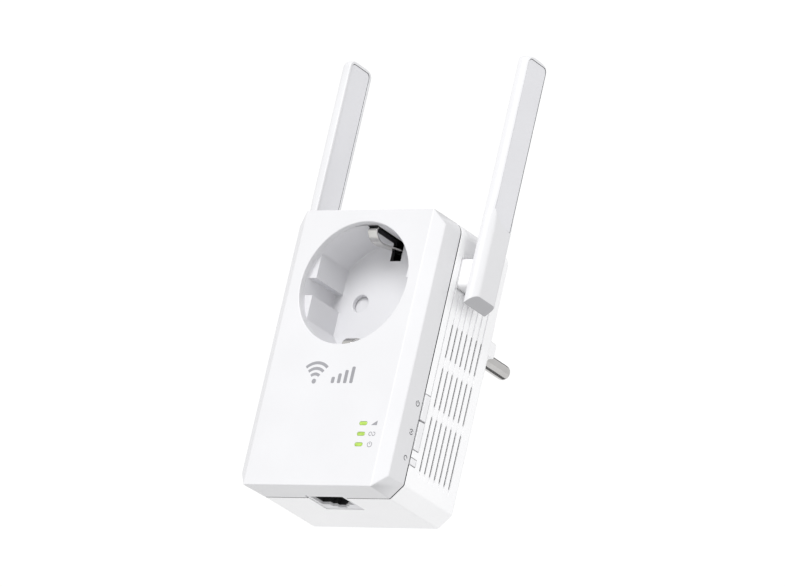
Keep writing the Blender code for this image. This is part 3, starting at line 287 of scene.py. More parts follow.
def soft_levels(start, stop, start_round, stop_round, steps=3):
    """Levels of a prism whose two end edges are rounded."""
    sign = 1 if stop > start else -1
    levels = []
    for i in range(steps + 1):
        a = math.radians(90 * i / steps)
        if start_round:
            levels.append((start + sign * start_round * (1 - math.sin(a)), -start_round * (1 - math.cos(a))))
    levels = levels[::-1] or [(start, 0.0)]
    for i in range(steps + 1):
        a = math.radians(90 * i / steps)
        if stop_round:
            levels.append((stop - sign * stop_round * (1 - math.sin(a)), -stop_round * (1 - math.cos(a))))
    if not stop_round:
        levels.append((stop, 0.0))
    return levels


def prism(axis, outline, start, stop, start_round=0.0, stop_round=0.0, bm=None):
    return stack(axis, outline, soft_levels(start, stop, start_round, stop_round), bm)


def flared(axis, outline, deep, mouth, flare, bm=None, steps=3, painted_shade_below=None):
    """A cutter whose mouth widens like a rounded edge; below painted_shade_below its walls get the dark
    painted shade of a recess.
    """
    sign = 1 if mouth > deep else -1
    levels = [(deep, 0.0)]
    finishes = []
    if painted_shade_below is not None:
        levels.append((painted_shade_below, 0.0))
        finishes.append(1)
    for i in range(steps + 1):
        a = math.radians(90 * i / steps)
        levels.append((mouth - sign * flare * (1 - math.sin(a)), flare * (1 - math.cos(a))))
        finishes.append(0)
    levels.append((mouth + sign * 0.002, flare))
    finishes.append(0)
    return stack(axis, outline, levels, bm, finishes)


def slab(outline, first, last, bm, finishes=None):
    """A flat body across X; outline holds (y, z) points."""
    return loft([[Vector((x, y, z)) for y, z in outline] for x in (first, last)], bm, finishes)


def hull(points):
    bm = bmesh.new()
    for p in points:
        bm.verts.new(p)
    made = bmesh.ops.convex_hull(bm, input=bm.verts)
    waste = [g for g in made["geom_interior"] + made["geom_unused"] if isinstance(g, bmesh.types.BMVert)]
    bmesh.ops.delete(bm, geom=list(set(waste)), context="VERTS")
    bmesh.ops.dissolve_limit(bm, angle_limit=math.radians(0.4), verts=bm.verts, edges=bm.edges)
    bmesh.ops.recalc_face_normals(bm, faces=bm.faces)
    return bm


def turned(axis, profile, centre, sides):
    """A turned solid; profile holds (place along the axis, radius)."""
    rings = [[at(axis, u, v, w) for u, v in disc(radius, centre, sides)()] for w, radius in profile]
    return loft(rings)


def tube_along(route, radius, sides):
    """A round tube along a route of points."""
    route = [Vector(p) for p in route]
    rings = []
    normal = None
    for i, point in enumerate(route):
        ahead = (route[min(i + 1, len(route) - 1)] - route[max(i - 1, 0)]).normalized()
        if normal is None:
            normal = ahead.orthogonal().normalized()
        normal = (normal - ahead * normal.dot(ahead)).normalized()
        other = ahead.cross(normal)
        rings.append([point + normal * u + other * v for u, v in disc(radius, sides=sides)()])
    return loft(rings)


def mirrored(bm, side):
    if side < 0:
        bmesh.ops.scale(bm, verts=bm.verts, vec=(-1, 1, 1))
        bmesh.ops.reverse_faces(bm, faces=bm.faces)
    return bm


# ---------- objects
def new_object(name, bm, finishes):
    mesh = bpy.data.meshes.new(name)
    bm.to_mesh(mesh)
    bm.free()
    obj = bpy.data.objects.new(name, mesh)
    bpy.context.scene.collection.objects.link(obj)
    for finish in finishes:
        mesh.materials.append(finish)
    return obj


def bake(obj):
    """Replace an object's mesh with what its modifiers make of it."""
    bpy.context.view_layer.update()
    evaluated = obj.evaluated_get(bpy.context.evaluated_depsgraph_get())
    mesh = bpy.data.meshes.new_from_object(evaluated)
    obj.modifiers.clear()
    old = obj.data
    obj.data = mesh
    bpy.data.meshes.remove(old)


def combine(obj, bm, operation):
    tool = new_object(obj.name + "_tool", bm, obj.data.materials[:])
    modifier = obj.modifiers.new("Boolean", "BOOLEAN")
    modifier.operation = operation
    modifier.solver = "EXACT"
    modifier.object = tool
    bake(obj)
    mesh = tool.data
    bpy.data.objects.remove(tool)
    bpy.data.meshes.remove(mesh)


def cut(obj, bm):
    combine(obj, bm, "DIFFERENCE")


def join(obj, bm):
    combine(obj, bm, "UNION")


def soften(obj, width, limit_deg):
    """Round an object's sharp edges."""
    modifier = obj.modifiers.new("Bevel", "BEVEL")
    modifier.width = width
    modifier.segments = 3
    modifier.limit_method = "ANGLE"
    modifier.angle_limit = math.radians(limit_deg)
    modifier.miter_outer = "MITER_ARC"
    bake(obj)


def darken_rim(obj, place):
    """Paint the rim that faces the other half of the casing with the dark painted shade, so the seam between
    them shows as a shadowed gap.
    """
    for face in obj.data.polygons:
        if abs(face.normal.y) > 0.9 and abs(face.center.y - place) < 0.0001:
            face.material_index = 1


def settle(obj, body, slot, *nodes, sharp_deg=35):
    """Shade a piece, put it on its body and let it stand for its CAD nodes."""
    obj.data.shade_smooth()
    obj.data.set_sharp_from_angle(angle=math.radians(sharp_deg))
    modifier = obj.modifiers.new("Normals", "WEIGHTED_NORMAL")
    modifier.keep_sharp = True
    modifier.weight = 80
    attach(obj, body)
    if nodes:
        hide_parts(*nodes)


# ---------- materials
class Nodes:
    """A material's node tree, with short calls for the nodes used here."""

    def __init__(self, name):
        self.material = bpy.data.materials.new(name)
        self.material.use_nodes = True
        self.tree = self.material.node_tree
        self.shader = self.tree.nodes["Principled BSDF"]
        self.place = self.tree.nodes.new("ShaderNodeTexCoord").outputs["Object"]

    def link(self, source, target):
        self.tree.links.new(source, target)

    def node(self, kind, output, **inputs):
        """Add a node, link or set its inputs, and give one of its outputs."""
        made = self.tree.nodes.new("ShaderNode" + kind)
        for name, value in inputs.items():
            socket = made.inputs[name.replace("_", " ")]
            if isinstance(value, bpy.types.NodeSocket):
                self.link(value, socket)
            else:
                socket.default_value = value
        return made.outputs[output]

    def stretched(self, scale):
        return self.node("Mapping", "Vector", Vector=self.place, Scale=scale)

    def noise(self, scale, detail=3.0, place=None, roughness=0.5):
        place = place or self.place
        return self.node("TexNoise", "Fac", Vector=place, Scale=scale, Detail=detail, Roughness=roughness)

    def cells(self, scale):
        return self.node("TexVoronoi", "Distance", Vector=self.place, Scale=scale)

    def ramp(self, value, stops):
        node = self.tree.nodes.new("ShaderNodeValToRGB")
        elements = node.color_ramp.elements
        while len(elements) < len(stops):
            elements.new(0.5)
        for element, (position, colour) in zip(elements, stops):
            element.position = position
            element.color = (*colour, 1.0)
        self.link(value, node.inputs["Fac"])
        return node.outputs["Color"]

    def span(self, value, low, high):
        return self.node("MapRange", "Result", Value=value, To_Min=low, To_Max=high)

    def mix(self, factor, first, second):
        node = self.tree.nodes.new("ShaderNodeMix")
        node.data_type = "RGBA"
        self.link(factor, node.inputs["Factor"])
        self.link(first, node.inputs["A"])
        self.link(second, node.inputs["B"])
        return node.outputs["Result"]

    def bump(self, value, strength, distance, below=None):
        inputs = {"Height": value, "Strength": strength, "Distance": distance}
        if below:
            inputs["Normal"] = below
        normal = self.node("Bump", "Normal", **inputs)
        self.link(normal, self.shader.inputs["Normal"])
        return normal

    def colour(self, value):
        self.link(value, self.shader.inputs["Base Color"])

    def gloss(self, value):
        self.link(value, self.shader.inputs["Roughness"])

    def constant(self, **values):
        for name, value in values.items():
            self.shader.inputs[name.replace("_", " ")].default_value = value


def shade(colour, factor):
    return tuple(min(c * factor, 1.0) for c in colour)


def plastic(name, colour, rough, grain=2600.0, relief=0.000006, spread=0.02):
    """Moulded plastic: a fine spark-eroded grain, slow drifts of tone and a little uneven gloss."""
    made = Nodes(name)
    drift = made.noise(55.0, 2.0)
    made.colour(made.ramp(drift, ((0.3, shade(colour, 1 - spread)), (0.7, shade(colour, 1 + spread * 0.4)))))
    made.gloss(made.span(made.noise(420.0, 4.0), rough - 0.05, rough + 0.06))
    fine = made.bump(made.noise(grain, 3.0, roughness=0.6), 0.25, relief)
    made.bump(made.noise(70.0, 1.0), 0.12, relief * 3, fine)
    made.constant(IOR=1.5)
    return made.material


def metal(name, colour, rough, scale=(300.0, 300.0, 300.0), spread=0.12, relief=0.000004):
    """Plated or rolled metal: drawn streaks in gloss and relief, and faint tarnish."""
    made = Nodes(name)
    tarnish = made.noise(240.0, 4.0)
    made.colour(made.ramp(tarnish, ((0.3, shade(colour, 1 - spread)), (0.7, colour))))
    streaks = made.noise(1.0, 3.0, made.stretched(scale))
    made.gloss(made.span(streaks, rough * 0.7, rough * 1.5))
    made.bump(streaks, 0.3, relief)
    made.constant(Metallic=1.0)
    return made.material


def board(name, mask, trace):
    """Solder mask over copper: a lattice of tracks, round pads and glass weave."""
    made = Nodes(name)
    flat = made.node("Mapping", "Vector", Vector=made.place, Rotation=(math.radians(90), 0, 0))
    colours = {"Color1": (*mask, 1.0), "Color2": (*shade(mask, 1.25), 1.0), "Mortar": (*trace, 1.0)}
    tracks = made.node("TexBrick", "Color", Vector=flat, Scale=260.0, Mortar_Size=0.06, **colours)
    pads = made.ramp(made.cells(420.0), ((0.16, (1.0, 1.0, 1.0)), (0.2, (0.0, 0.0, 0.0))))
    tin = made.ramp(made.noise(900.0), ((0.3, (0.55, 0.55, 0.52)), (0.7, (0.75, 0.75, 0.72))))
    made.colour(made.mix(pads, tracks, tin))
    made.gloss(made.span(made.noise(600.0), 0.25, 0.45))
    made.bump(made.noise(2400.0), 0.3, 0.00001)
    return made.material


def glowing(name, colour, strength):
    """A tinted light pipe that glows, its tone drifting at random."""
    made = Nodes(name)
    bloom = made.noise(900.0, 2.0)
    made.colour(made.ramp(bloom, ((0.3, shade(colour, 0.8)), (0.7, shade(colour, 1.15)))))
    made.gloss(made.span(made.noise(1500.0), 0.15, 0.3))
    made.bump(made.noise(2600.0), 0.2, 0.000005)
    made.constant(Emission_Color=(*colour, 1.0), Emission_Strength=strength, Coat_Weight=0.3)
    return made.material


COVER_WHITE = plastic("cover_white", (0.70, 0.70, 0.715), 0.34)
HOUSING_WHITE = plastic("housing_white", (0.92, 0.92, 0.93), 0.40)
# near-black painted shade for hollows, seams, slot walls and the shell's inside, where shadow falls
SHADE_DARK = plastic("painted_shade_dark", (0.07, 0.07, 0.075), 0.6, spread=0.1)
SOCKET_WHITE = plastic("socket_white", (0.71, 0.71, 0.73), 0.42)
ANTENNA_WHITE = plastic("antenna_white", (0.71, 0.71, 0.725), 0.36)
PANEL_GREY = plastic("panel_grey", (0.72, 0.72, 0.745), 0.46, grain=3200.0)
# mid-grey painted shade for the antenna's downward end faces
END_SHADE_GREY = plastic("antenna_end_painted_shade", (0.44, 0.44, 0.455), 0.5)
KEY_WHITE = plastic("key_white", (0.82, 0.82, 0.835), 0.36)
BLACK = plastic("black_plastic", (0.02, 0.02, 0.022), 0.42, spread=0.2)
PRINT_DARK = plastic("print_dark", (0.11, 0.11, 0.12), 0.6, spread=0.1)
PRINT_GREY = plastic("print_grey", (0.30, 0.30, 0.32), 0.6, spread=0.1)
NICKEL = metal("nickel_plate", (0.66, 0.65, 0.64), 0.12, (900.0, 60.0, 900.0))
CLIP_NICKEL = metal("clip_nickel", (0.70, 0.69, 0.67), 0.16, (60.0, 900.0, 900.0))
STEEL = metal("zinc_steel", (0.60, 0.60, 0.61), 0.34)
BRASS = metal("brass", (0.78, 0.60, 0.30), 0.28)
GOLD = metal("gold_plate", (0.85, 0.65, 0.30), 0.2, (900.0, 900.0, 80.0))
TIN = metal("tin_plate", (0.66, 0.66, 0.67), 0.38)
PIPE_GREEN = glowing("light_pipe_green", (0.33, 0.50, 0.08), 0.25)
LAMP_LENS = glowing("lamp_lens", (0.85, 0.86, 0.70), 0.2)
BOARD_GREEN = board("board_green", (0.02, 0.15, 0.06), (0.05, 0.28, 0.12))
ANTENNA_BOARD = board("antenna_board", (0.06, 0.2, 0.1), (0.5, 0.32, 0.12))


# ---------- casing
def post_places():
    return [(middle(f"casing_screw_{i}").x, middle(f"casing_screw_{i}").z) for i in range(1, 5)]


def cover_form():
    """The cover's outer form: a flat face, a sloped strip down each side, and corners that grow round."""
    face_y = FRONT_Y + FACE_SINK
    points = [at("Y", u, v, COVER_BACK_Y) for u, v in casing_outline()]
    inner_x = HALF_WIDTH - SIDE_BEVEL_WIDTH
    for side in (1, -1):
        for edge_z, sign, corner in ((TOP_Z, 1, 0.0040), (BOTTOM_Z, -1, LOW_CORNER_HEIGHT)):
            steps = 7
            for i in range(steps + 1):
                t = i / steps
                x = inner_x + BEVEL_FLARE * t ** 2.2
                points.append(Vector((side * x, face_y, edge_z - sign * BEVEL_FLARE_RUN * (1 - t))))
            points.append(Vector((side * HALF_WIDTH, FRONT_Y + SIDE_BEVEL_DEPTH, edge_z - sign * corner)))
    return hull(points)


def key_spans():
    """Where the three keys lie: lowest and highest Z of each."""
    return [(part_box(n)[0].z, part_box(n)[1].z) for n in KEYS]



def port_cutter(bm=None):
    half = (jack_high.x - jack_low.x) / 2 + GAP
    depth = (jack_high.y - jack_low.y) / 2 + GAP
    centre = (0.0, (jack_high.y + jack_low.y) / 2)
    outline = block(half, depth, centre, 0.0004)
    # the port's walls deeper than its mouth get the dark painted shade
    return flared("Z", outline, BOTTOM_Z + 2 * WALL, BOTTOM_Z, 0.00012, bm, painted_shade_below=BOTTOM_Z + 0.0005)


def front_cover():
    cover = new_object("cover_shell", cover_form(), (COVER_WHITE, SHADE_DARK))
    soften(cover, 0.00032, 18)
    # the hollow inside the cover gets the dark painted shade
    inner = [(FRONT_Y + WALL, -0.0052), (FRONT_Y + 0.0046, -WALL), (COVER_BACK_Y + WALL, -WALL)]
    cut(cover, stack("Y", casing_outline, inner, finishes=[1, 1]))
    for place in post_places():
        join(cover, prism("Y", disc(POST_RADIUS, place, 32), FRONT_Y + WALL / 2, COVER_BACK_Y - 0.0001))
        cut(cover, prism("Y", disc(0.0013, place, 24), FRONT_Y + WALL, COVER_BACK_Y + WALL))
    mouth = disc(RECESS_RADIUS, (0, SOCKET_Z), 128)
    cut(cover, flared("Y", mouth, FRONT_Y + 2 * WALL, FRONT_Y + FACE_SINK, 0.0003, steps=4))
    windows = bmesh.new()
    for node in LAMPS:
        place = middle(node)
        outline = block(0.00148, 0.00062, (place.x, place.z), 0.00061, 6)
        flared("Y", outline, FRONT_Y + 2 * WALL, FRONT_Y + FACE_SINK, 0.0001, windows)
    cut(cover, windows)
    cut(cover, port_cutter())
    darken_rim(cover, COVER_BACK_Y)
    settle(cover, "housing", "casing_white", "front_cover")


def groove_line():
    """The bottom of a groove as (x, z), upwards: it runs out past the rows and rises between them."""
    floor = HALF_WIDTH - GROOVE_DEPTH
    rows = [(BOTTOM_Z + low, BOTTOM_Z + high) for low, high in SLOT_ROWS]
    line = [(HALF_WIDTH, rows[0][0] - GROOVE_RUNOUT)]
    for row, above in zip(rows, rows[1:] + [None]):
        line += [(floor, row[0]), (floor, row[1])]
        if above:
            half_gap = (above[0] - row[1]) / 2
            line.append((floor + GROOVE_DEPTH * min(half_gap / GROOVE_RUNOUT, 0.96), row[1] + half_gap))
    upper_end = PIVOT_Z - 0.0035
    line[-1] = (floor, upper_end - GROOVE_RUNOUT)
    line.append((HALF_WIDTH, upper_end))
    return line


def groove_cutter():
    """Shallow grooves down both sides, and the slots at the bottom of them."""
    grooves, slots = bmesh.new(), bmesh.new()
    line = groove_line()
    outline = [(HALF_WIDTH + WALL, line[0][1])] + line + [(HALF_WIDTH + WALL, line[-1][1])]
    half = SLOT_WIDTH / 2
    for side in (1, -1):
        for i in range(1, SLOT_COUNT):
            y = FRONT_Y + SLOT_START + SLOT_PITCH * i
            loft([[Vector((side * x, y + sign * half, z)) for x, z in outline] for sign in (-1, 1)], grooves)
            for low, high in SLOT_ROWS:
                centre = (y, BOTTOM_Z + (low + high) / 2)
                shape = block(half - 0.00004, (high - low) / 2, centre, half * 0.8)
                start, stop = side * (HALF_WIDTH - 2 * WALL), side * (HALF_WIDTH - GROOVE_DEPTH + 0.0001)
                prism("X", shape, start, stop, bm=slots)
    # the slot walls get the dark painted shade of the openings
    for face in slots.faces:
        face.material_index = 1
    return grooves, slots


def line_groove_cutter():
    """The narrow line that carries the keys' rear edge on up the side."""
    bm = bmesh.new()
    y = KEY_FAR_Y + GAP / 2
    low = key_spans()[0][1] + GAP
    high = PIVOT_Z + 0.0048
    half = 0.00022
    for side in (1, -1):
        start = low if side > 0 else BOTTOM_Z + SLOT_ROWS[0][0]
        shape = block(half, (high - start) / 2, (y, (high + start) / 2), half * 0.8)
        prism("X", shape, side * (HALF_WIDTH - 0.0006), side * (HALF_WIDTH + WALL), bm=bm)
    return bm


def pocket_cutter():
    """The dish round each hinge block: deep at the block, running out above, below and to the sides."""
    bm = bmesh.new()
    low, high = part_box("hinge_boss_right")
    rise, drop = 0.0030, 0.0022
    for side in (1, -1):
        rings = []
        steps = 10
        for i in range(steps + 1):
            t = i / steps
            y = low.y - 0.0002 + (high.y - low.y + 0.0014) * t
            ease = min(1.0, 6.0 * t + 0.1, 4.5 * (1 - t))
            depth = POCKET_DEPTH * max(ease * ease * (3 - 2 * ease), 0.03)
            ring = [(HALF_WIDTH + WALL, low.z - drop), (HALF_WIDTH + 1e-5, low.z - drop)]
            curve = [k / 6 for k in range(7)]
            ring += [(HALF_WIDTH - depth * s * s, low.z - drop + (drop - 0.0001) * s) for s in curve]
            ring += [(HALF_WIDTH - depth * s * s, high.z + rise - (rise - 0.0001) * s) for s in curve[::-1]]
            ring += [(HALF_WIDTH + 1e-5, high.z + rise), (HALF_WIDTH + WALL, high.z + rise)]
            rings.append([Vector((side * x, y, z)) for x, z in ring])
        loft(rings, bm)
    return bm


def rear_housing():
    levels = soft_levels(HOUSING_FRONT_Y, BACK_Y, 0.00012, 0.0013, 4)
    housing = new_object("housing_shell", stack("Y", casing_outline, levels), (HOUSING_WHITE, SHADE_DARK))
    inner = [(HOUSING_FRONT_Y - WALL, -WALL), (BACK_Y - WALL, -WALL)]
    # the hollow inside the housing gets the dark painted shade
    cut(housing, stack("Y", casing_outline, inner, finishes=[1]))
    for place in post_places():
        join(housing, prism("Y", disc(POST_RADIUS, place, 32), HOUSING_FRONT_Y + 0.0001, BACK_Y - WALL / 2))
        cut(housing, prism("Y", disc(0.0014, place, 24), HOUSING_FRONT_Y - WALL, BACK_Y + WALL))
        cut(housing, flared("Y", disc(0.0023, place, 32), BACK_Y - 0.0020, BACK_Y, 0.0002))
    cut(housing, flared("Y", disc(PLUG_RADIUS + GAP, (0, 0), 96), BACK_Y - 2 * WALL, BACK_Y, 0.00025))
    necks = bmesh.new()
    for side in (1, -1):
        start, stop = side * (HALF_WIDTH - 2 * WALL), side * (HALF_WIDTH + WALL)
        prism("X", disc(0.0040, HINGE_PLACE, 48), start, stop, bm=necks)
    cut(housing, pocket_cutter())
    cut(housing, necks)
    grooves, slots = groove_cutter()
    cut(housing, grooves)
    cut(housing, slots)
    cut(housing, line_groove_cutter())
    notches = bmesh.new()
    spans = key_spans()
    depth = (KEY_FAR_Y + GAP - COVER_BACK_Y + WALL) / 2
    centre_y = KEY_FAR_Y + GAP - depth
    for low, high in ((spans[1][0], spans[0][1]), spans[2]):
        shape = block(depth, (high - low) / 2 + GAP, (centre_y, (low + high) / 2), 0.0002)
        prism("X", shape, HALF_WIDTH - 2 * WALL, HALF_WIDTH + WALL, bm=notches)
    cut(housing, notches)
    cut(housing, port_cutter())
    darken_rim(housing, HOUSING_FRONT_Y)
    settle(housing, "housing", "casing_white", "rear_housing")


def casing_screws():
    for i, (x, z) in enumerate(post_places(), 1):
        low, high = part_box(f"casing_screw_{i}")
        seat = high.y - 0.0014
        profile = [(low.y, 0.0003), (low.y + 0.0012, 0.0009), (seat - 0.0002, 0.0011),
                   (seat - 0.0001, 0.0013), (seat, 0.0019), (high.y - 0.0008, 0.0020),
                   (high.y - 0.0003, 0.0017), (high.y, 0.0009)]
        screw = new_object(f"case_screw_{i}", turned("Y", profile, (x, z), 32), (STEEL,))
        levels = [(high.y - 0.0011, -0.0001), (high.y + WALL, 0.0)]
        cut(screw, stack("Y", cross(0.00125, 0.00028, (x, z)), levels))
        settle(screw, "housing", "zinc_steel", f"casing_screw_{i}")


# ---------- socket
def socket_well():
    floor_y = CUP_FLOOR_Y
    back_y = floor_y + CUP_FLOOR
    start = FRONT_Y + WALL + 0.00005
    centre = (0, SOCKET_Z)
    well = new_object("socket_well", prism("Y", disc(RECESS_RADIUS + CUP_WALL, centre, 128), start, back_y),
                      (SOCKET_WHITE, SHADE_DARK))
    guide_y = FRONT_Y + GUIDE_SETBACK
    cut(well, prism("Y", disc(RECESS_RADIUS, centre, 128), start - WALL, guide_y))
    shape = guided(RECESS_RADIUS - 0.00002, RECESS_RADIUS - GUIDE_THICKNESS, GUIDE_HALF_GAP, centre)
    cut(well, stack("Y", shape, [(floor_y, -0.0003), (floor_y - 0.0001, -0.00012), (floor_y - 0.0003, 0.0),
                                 (guide_y - 0.0002, 0.0)]))
    holes = bmesh.new()
    for side in (1, -1):
        place = (side * PIN_SPACING / 2, SOCKET_Z)
        flared("Y", disc(PIN_HOLE_RADIUS, place, 48), back_y + WALL, floor_y, 0.00035, holes)
    cut(well, holes)
    half = CLIP_WIDTH / 2 + GAP
    slots = bmesh.new()
    for side in (1, -1):
        inner = SOCKET_Z + side * (RECESS_RADIUS - CLIP_RISE - 0.0015)
        wall = SOCKET_Z + side * (RECESS_RADIUS - 0.0006)
        outer_z = SOCKET_Z + side * (RECESS_RADIUS + CUP_WALL + WALL)
        first, last, step = FRONT_Y + 0.0027, back_y + WALL, floor_y - GAP
        outline = [(first, wall), (step, wall), (step, inner), (last, inner), (last, outer_z),
                   (first, outer_z)]
        # the clip slots' walls get the dark painted shade
        slab(outline, -half, half, slots, [1])
    cut(well, slots)
    join(well, prism("Y", disc(0.0015, centre, 24), back_y - GAP, back_y + 0.0029, 0.0, 0.0003))
    settle(well, "housing", "socket_white", "socket_cup")


def smooth_run(points, steps):
    """A Catmull-Rom curve through points."""
    points = [Vector(p) for p in points]
    points = [2 * points[0] - points[1]] + points + [2 * points[-1] - points[-2]]
    run = []
    for a, b, c, d in zip(points, points[1:], points[2:], points[3:]):
        for i in range(steps):
            t = i / steps
            squared = (2 * a - 5 * b + 4 * c - d) * t ** 2
            cubed = (3 * b - a - 3 * c + d) * t ** 3
            run.append(0.5 * (2 * b + (c - a) * t + squared + cubed))
    run.append(points[-2])
    return run


def clip_strip(name, upper, centre_z, round_edge, node):
    """A flat sprung strip, wide along X; upper holds the (y, z) points of its upper half."""
    run = [Vector((y, centre_z + z)) for y, z in upper]
    run += [Vector((y, centre_z - z)) for y, z in reversed(upper)]
    section = block(CLIP_WIDTH / 2, CLIP_THICKNESS / 2, radius=round_edge, steps=3)()
    rings = []
    for i, here in enumerate(run):
        ahead = (run[min(i + 1, len(run) - 1)] - run[max(i - 1, 0)]).normalized()
        normal = Vector((-ahead.y, ahead.x))
        rings.append([Vector((u, here.x + normal.x * v, here.y + normal.y * v)) for u, v in section])
    settle(new_object(name, loft(rings), (CLIP_NICKEL,)), "housing", "nickel", node)


def earth_clips():
    """The sprung strip: a rolled front end, a crest that bears on the plug, and the bar behind the cup."""
    crest = RECESS_RADIUS - CLIP_RISE + CLIP_THICKNESS / 2
    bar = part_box("earth_strap")[1].y - CLIP_THICKNESS / 2
    back_y = CUP_FLOOR_Y + CUP_FLOOR
    upper = [(FRONT_Y + 0.0040, RECESS_RADIUS - 0.0004), (FRONT_Y + 0.0036, RECESS_RADIUS - 0.0015),
             (FRONT_Y + 0.0042, crest + 0.0016), (FRONT_Y + 0.0058, crest + 0.0004),
             (FRONT_Y + 0.0080, crest), (FRONT_Y + 0.0120, crest + 0.0006),
             (CUP_FLOOR_Y - 0.0011, crest + 0.0014), (back_y + 0.0005, crest + 0.0016),
             (bar - 0.0012, crest + 0.0016), (bar, crest + 0.0004)]
    clip_strip("earth_clip_strip", smooth_run(upper, 5), SOCKET_Z, 0.00018, "earth_strap")


# ---------- plug
def plug_body():
    low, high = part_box("plug_base")
    flange_y = low.y
    shape = guided(PLUG_RADIUS, PLUG_RADIUS - PLUG_GROOVE, PLUG_HALF_RIB, (0, 0))
    form = stack("Y", shape, [(flange_y, 0.0), (high.y, 0.0)])
    body = new_object("plug_body", form, (HOUSING_WHITE, SHADE_DARK))
    soften(body, 0.0007, 40)
    join(body, prism("Y", disc(high.x, (0, 0), 96), flange_y, flange_y + 0.0022))
    cut(body, prism("Y", disc(0.0140, (0, 0), 64), flange_y - WALL, -0.0040))
    pins = bmesh.new()
    for side in (1, -1):
        outline = disc(0.0027, (side * PIN_SPACING / 2, 0), 48)
        flared("Y", outline, -0.0080, high.y, 0.0002, pins)
    cut(body, pins)
    earth_low, earth_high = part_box("plug_earth_strap")
    half = CLIP_WIDTH / 2 + GAP
    grooves = bmesh.new()
    for side in (1, -1):
        floor = side * (PLUG_RADIUS - 0.0015)
        top = side * (PLUG_RADIUS + WALL)
        inner = side * 0.0120
        start, through, stop = BACK_Y + GAP, earth_low.y + 0.0013, -0.0016
        outline = [(start, inner), (through, inner), (through, floor), (stop, floor), (stop, top),
                   (start, top)]
        slab(outline, -half, half, grooves)
    cut(body, grooves)
    settle(body, "housing", "casing_white", "plug_base")


def plug_side_contacts():
    low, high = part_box("plug_earth_strap")
    leg = high.z - CLIP_THICKNESS / 2
    bar = low.y + CLIP_THICKNESS / 2
    path = [(high.y, leg - 0.0004), (high.y - 0.0008, leg), (bar + 0.0030, leg), (bar + 0.0010, leg - 0.0001),
            (bar, leg - 0.0010)]
    clip_strip("plug_side_contacts", smooth_run(path, 4), 0.0, 0.00015, "plug_earth_strap")


def plug_pins():
    for name, node in (("right_pin", "line_pin"), ("left_pin", "neutral_pin")):
        low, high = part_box(node)
        radius = (high.x - low.x) / 2
        profile = [(low.y, radius * 0.7), (low.y + 0.0004, radius)]
        profile += [(-0.0002, radius), (0.0, radius * 0.985), (0.0002, radius)]
        for step in range(7):
            a = math.radians(15 * step)
            profile.append((high.y - 0.0017 * (1 - math.sin(a)), radius * (0.42 + 0.58 * math.cos(a))))
        place = ((low.x + high.x) / 2, (low.z + high.z) / 2)
        pin = new_object(name, turned("Y", profile, place, 64), (NICKEL,))
        settle(pin, "housing", "nickel", node)


# ---------- port, lights and keys
def port_outline(grow=0.0):
    """The opening of an eight-contact port: a wide bay, and two narrower steps for the latch."""
    near = jack_low.y + 0.0010
    deck = near + PORT_DEPTH
    wide, step, narrow = PORT_WIDTH / 2, PORT_WIDTH * 0.27, PORT_WIDTH * 0.14
    half_line = [(wide, near), (wide, deck), (step, deck), (step, deck + 0.0014), (narrow, deck + 0.0014),
                 (narrow, deck + 0.0026)]
    corners = [(x, y, 0.00015) for x, y in half_line] + [(-x, y, 0.00015) for x, y in reversed(half_line)]
    return rounded(corners, grow, 2)


def ethernet_port():
    half, depth = (jack_high.x - jack_low.x) / 2, (jack_high.y - jack_low.y) / 2
    centre = (0.0, (jack_low.y + jack_high.y) / 2)
    mouth = jack_low.z
    frame_top = mouth + 0.0009
    outline = block(half, depth, centre, 0.0003)
    rim = new_object("port_frame", prism("Z", outline, mouth, frame_top, 0.0001), (SOCKET_WHITE, BLACK))
    cut(rim, flared("Z", port_outline, frame_top + WALL, mouth, 0.00012))
    settle(rim, "housing", "socket_white")
    jack = new_object("jack_body", prism("Z", outline, frame_top + 0.00005, jack_high.z), (BLACK,))
    cut(jack, stack("Z", port_outline, [(mouth - WALL, 0.0), (jack_high.z - 0.0020, 0.0)]))
    settle(jack, "housing", "black_plastic", "ethernet_jack")
    low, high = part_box("jack_contacts")
    pitch = 0.00102
    outline = block(4.3 * pitch, 0.0004, (0, low.y + 0.0004), 0.0001)
    comb = new_object("jack_contact_comb", prism("Z", outline, high.z - 0.0016, high.z), (BLACK,))
    settle(comb, "housing", "gold_plate", "jack_contacts")
    for i in range(8):
        x = (i - 3.5) * pitch
        points = [(x, low.y + 0.0004, high.z - 0.0014), (x, low.y + 0.0005, high.z - 0.0030),
                  (x, low.y + 0.0011, low.z + 0.0030), (x, low.y + 0.0014, low.z + 0.0006),
                  (x, low.y + 0.0010, low.z + 0.0003), (x, low.y + 0.0004, low.z + 0.0008)]
        wire = new_object(f"jack_wire_{i + 1}", tube_along(smooth_run(points, 4), 0.00019, 8), (GOLD,))
        settle(wire, "housing", "gold_plate")


def light_pipe():
    low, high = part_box("light_guide")
    bar_start = FRONT_Y + WALL + GAP
    size, centre = (high - low) / 2, middle("light_guide")
    outline = block(size.x, size.z, (centre.x, centre.z), 0.0004)
    form = prism("Y", outline, bar_start, bar_start + 0.0014, 0.0002, 0.0002)
    pipe = new_object("light_pipe", form, (PIPE_GREEN,))
    for node in LAMPS:
        place = middle(node)
        shape = block(0.0014, 0.00055, (place.x, place.z), 0.00054, 6)
        join(pipe, prism("Y", shape, FRONT_Y + FACE_SINK, high.y, 0.00015, 0.0))
    settle(pipe, "housing", "light_guide", "light_guide")


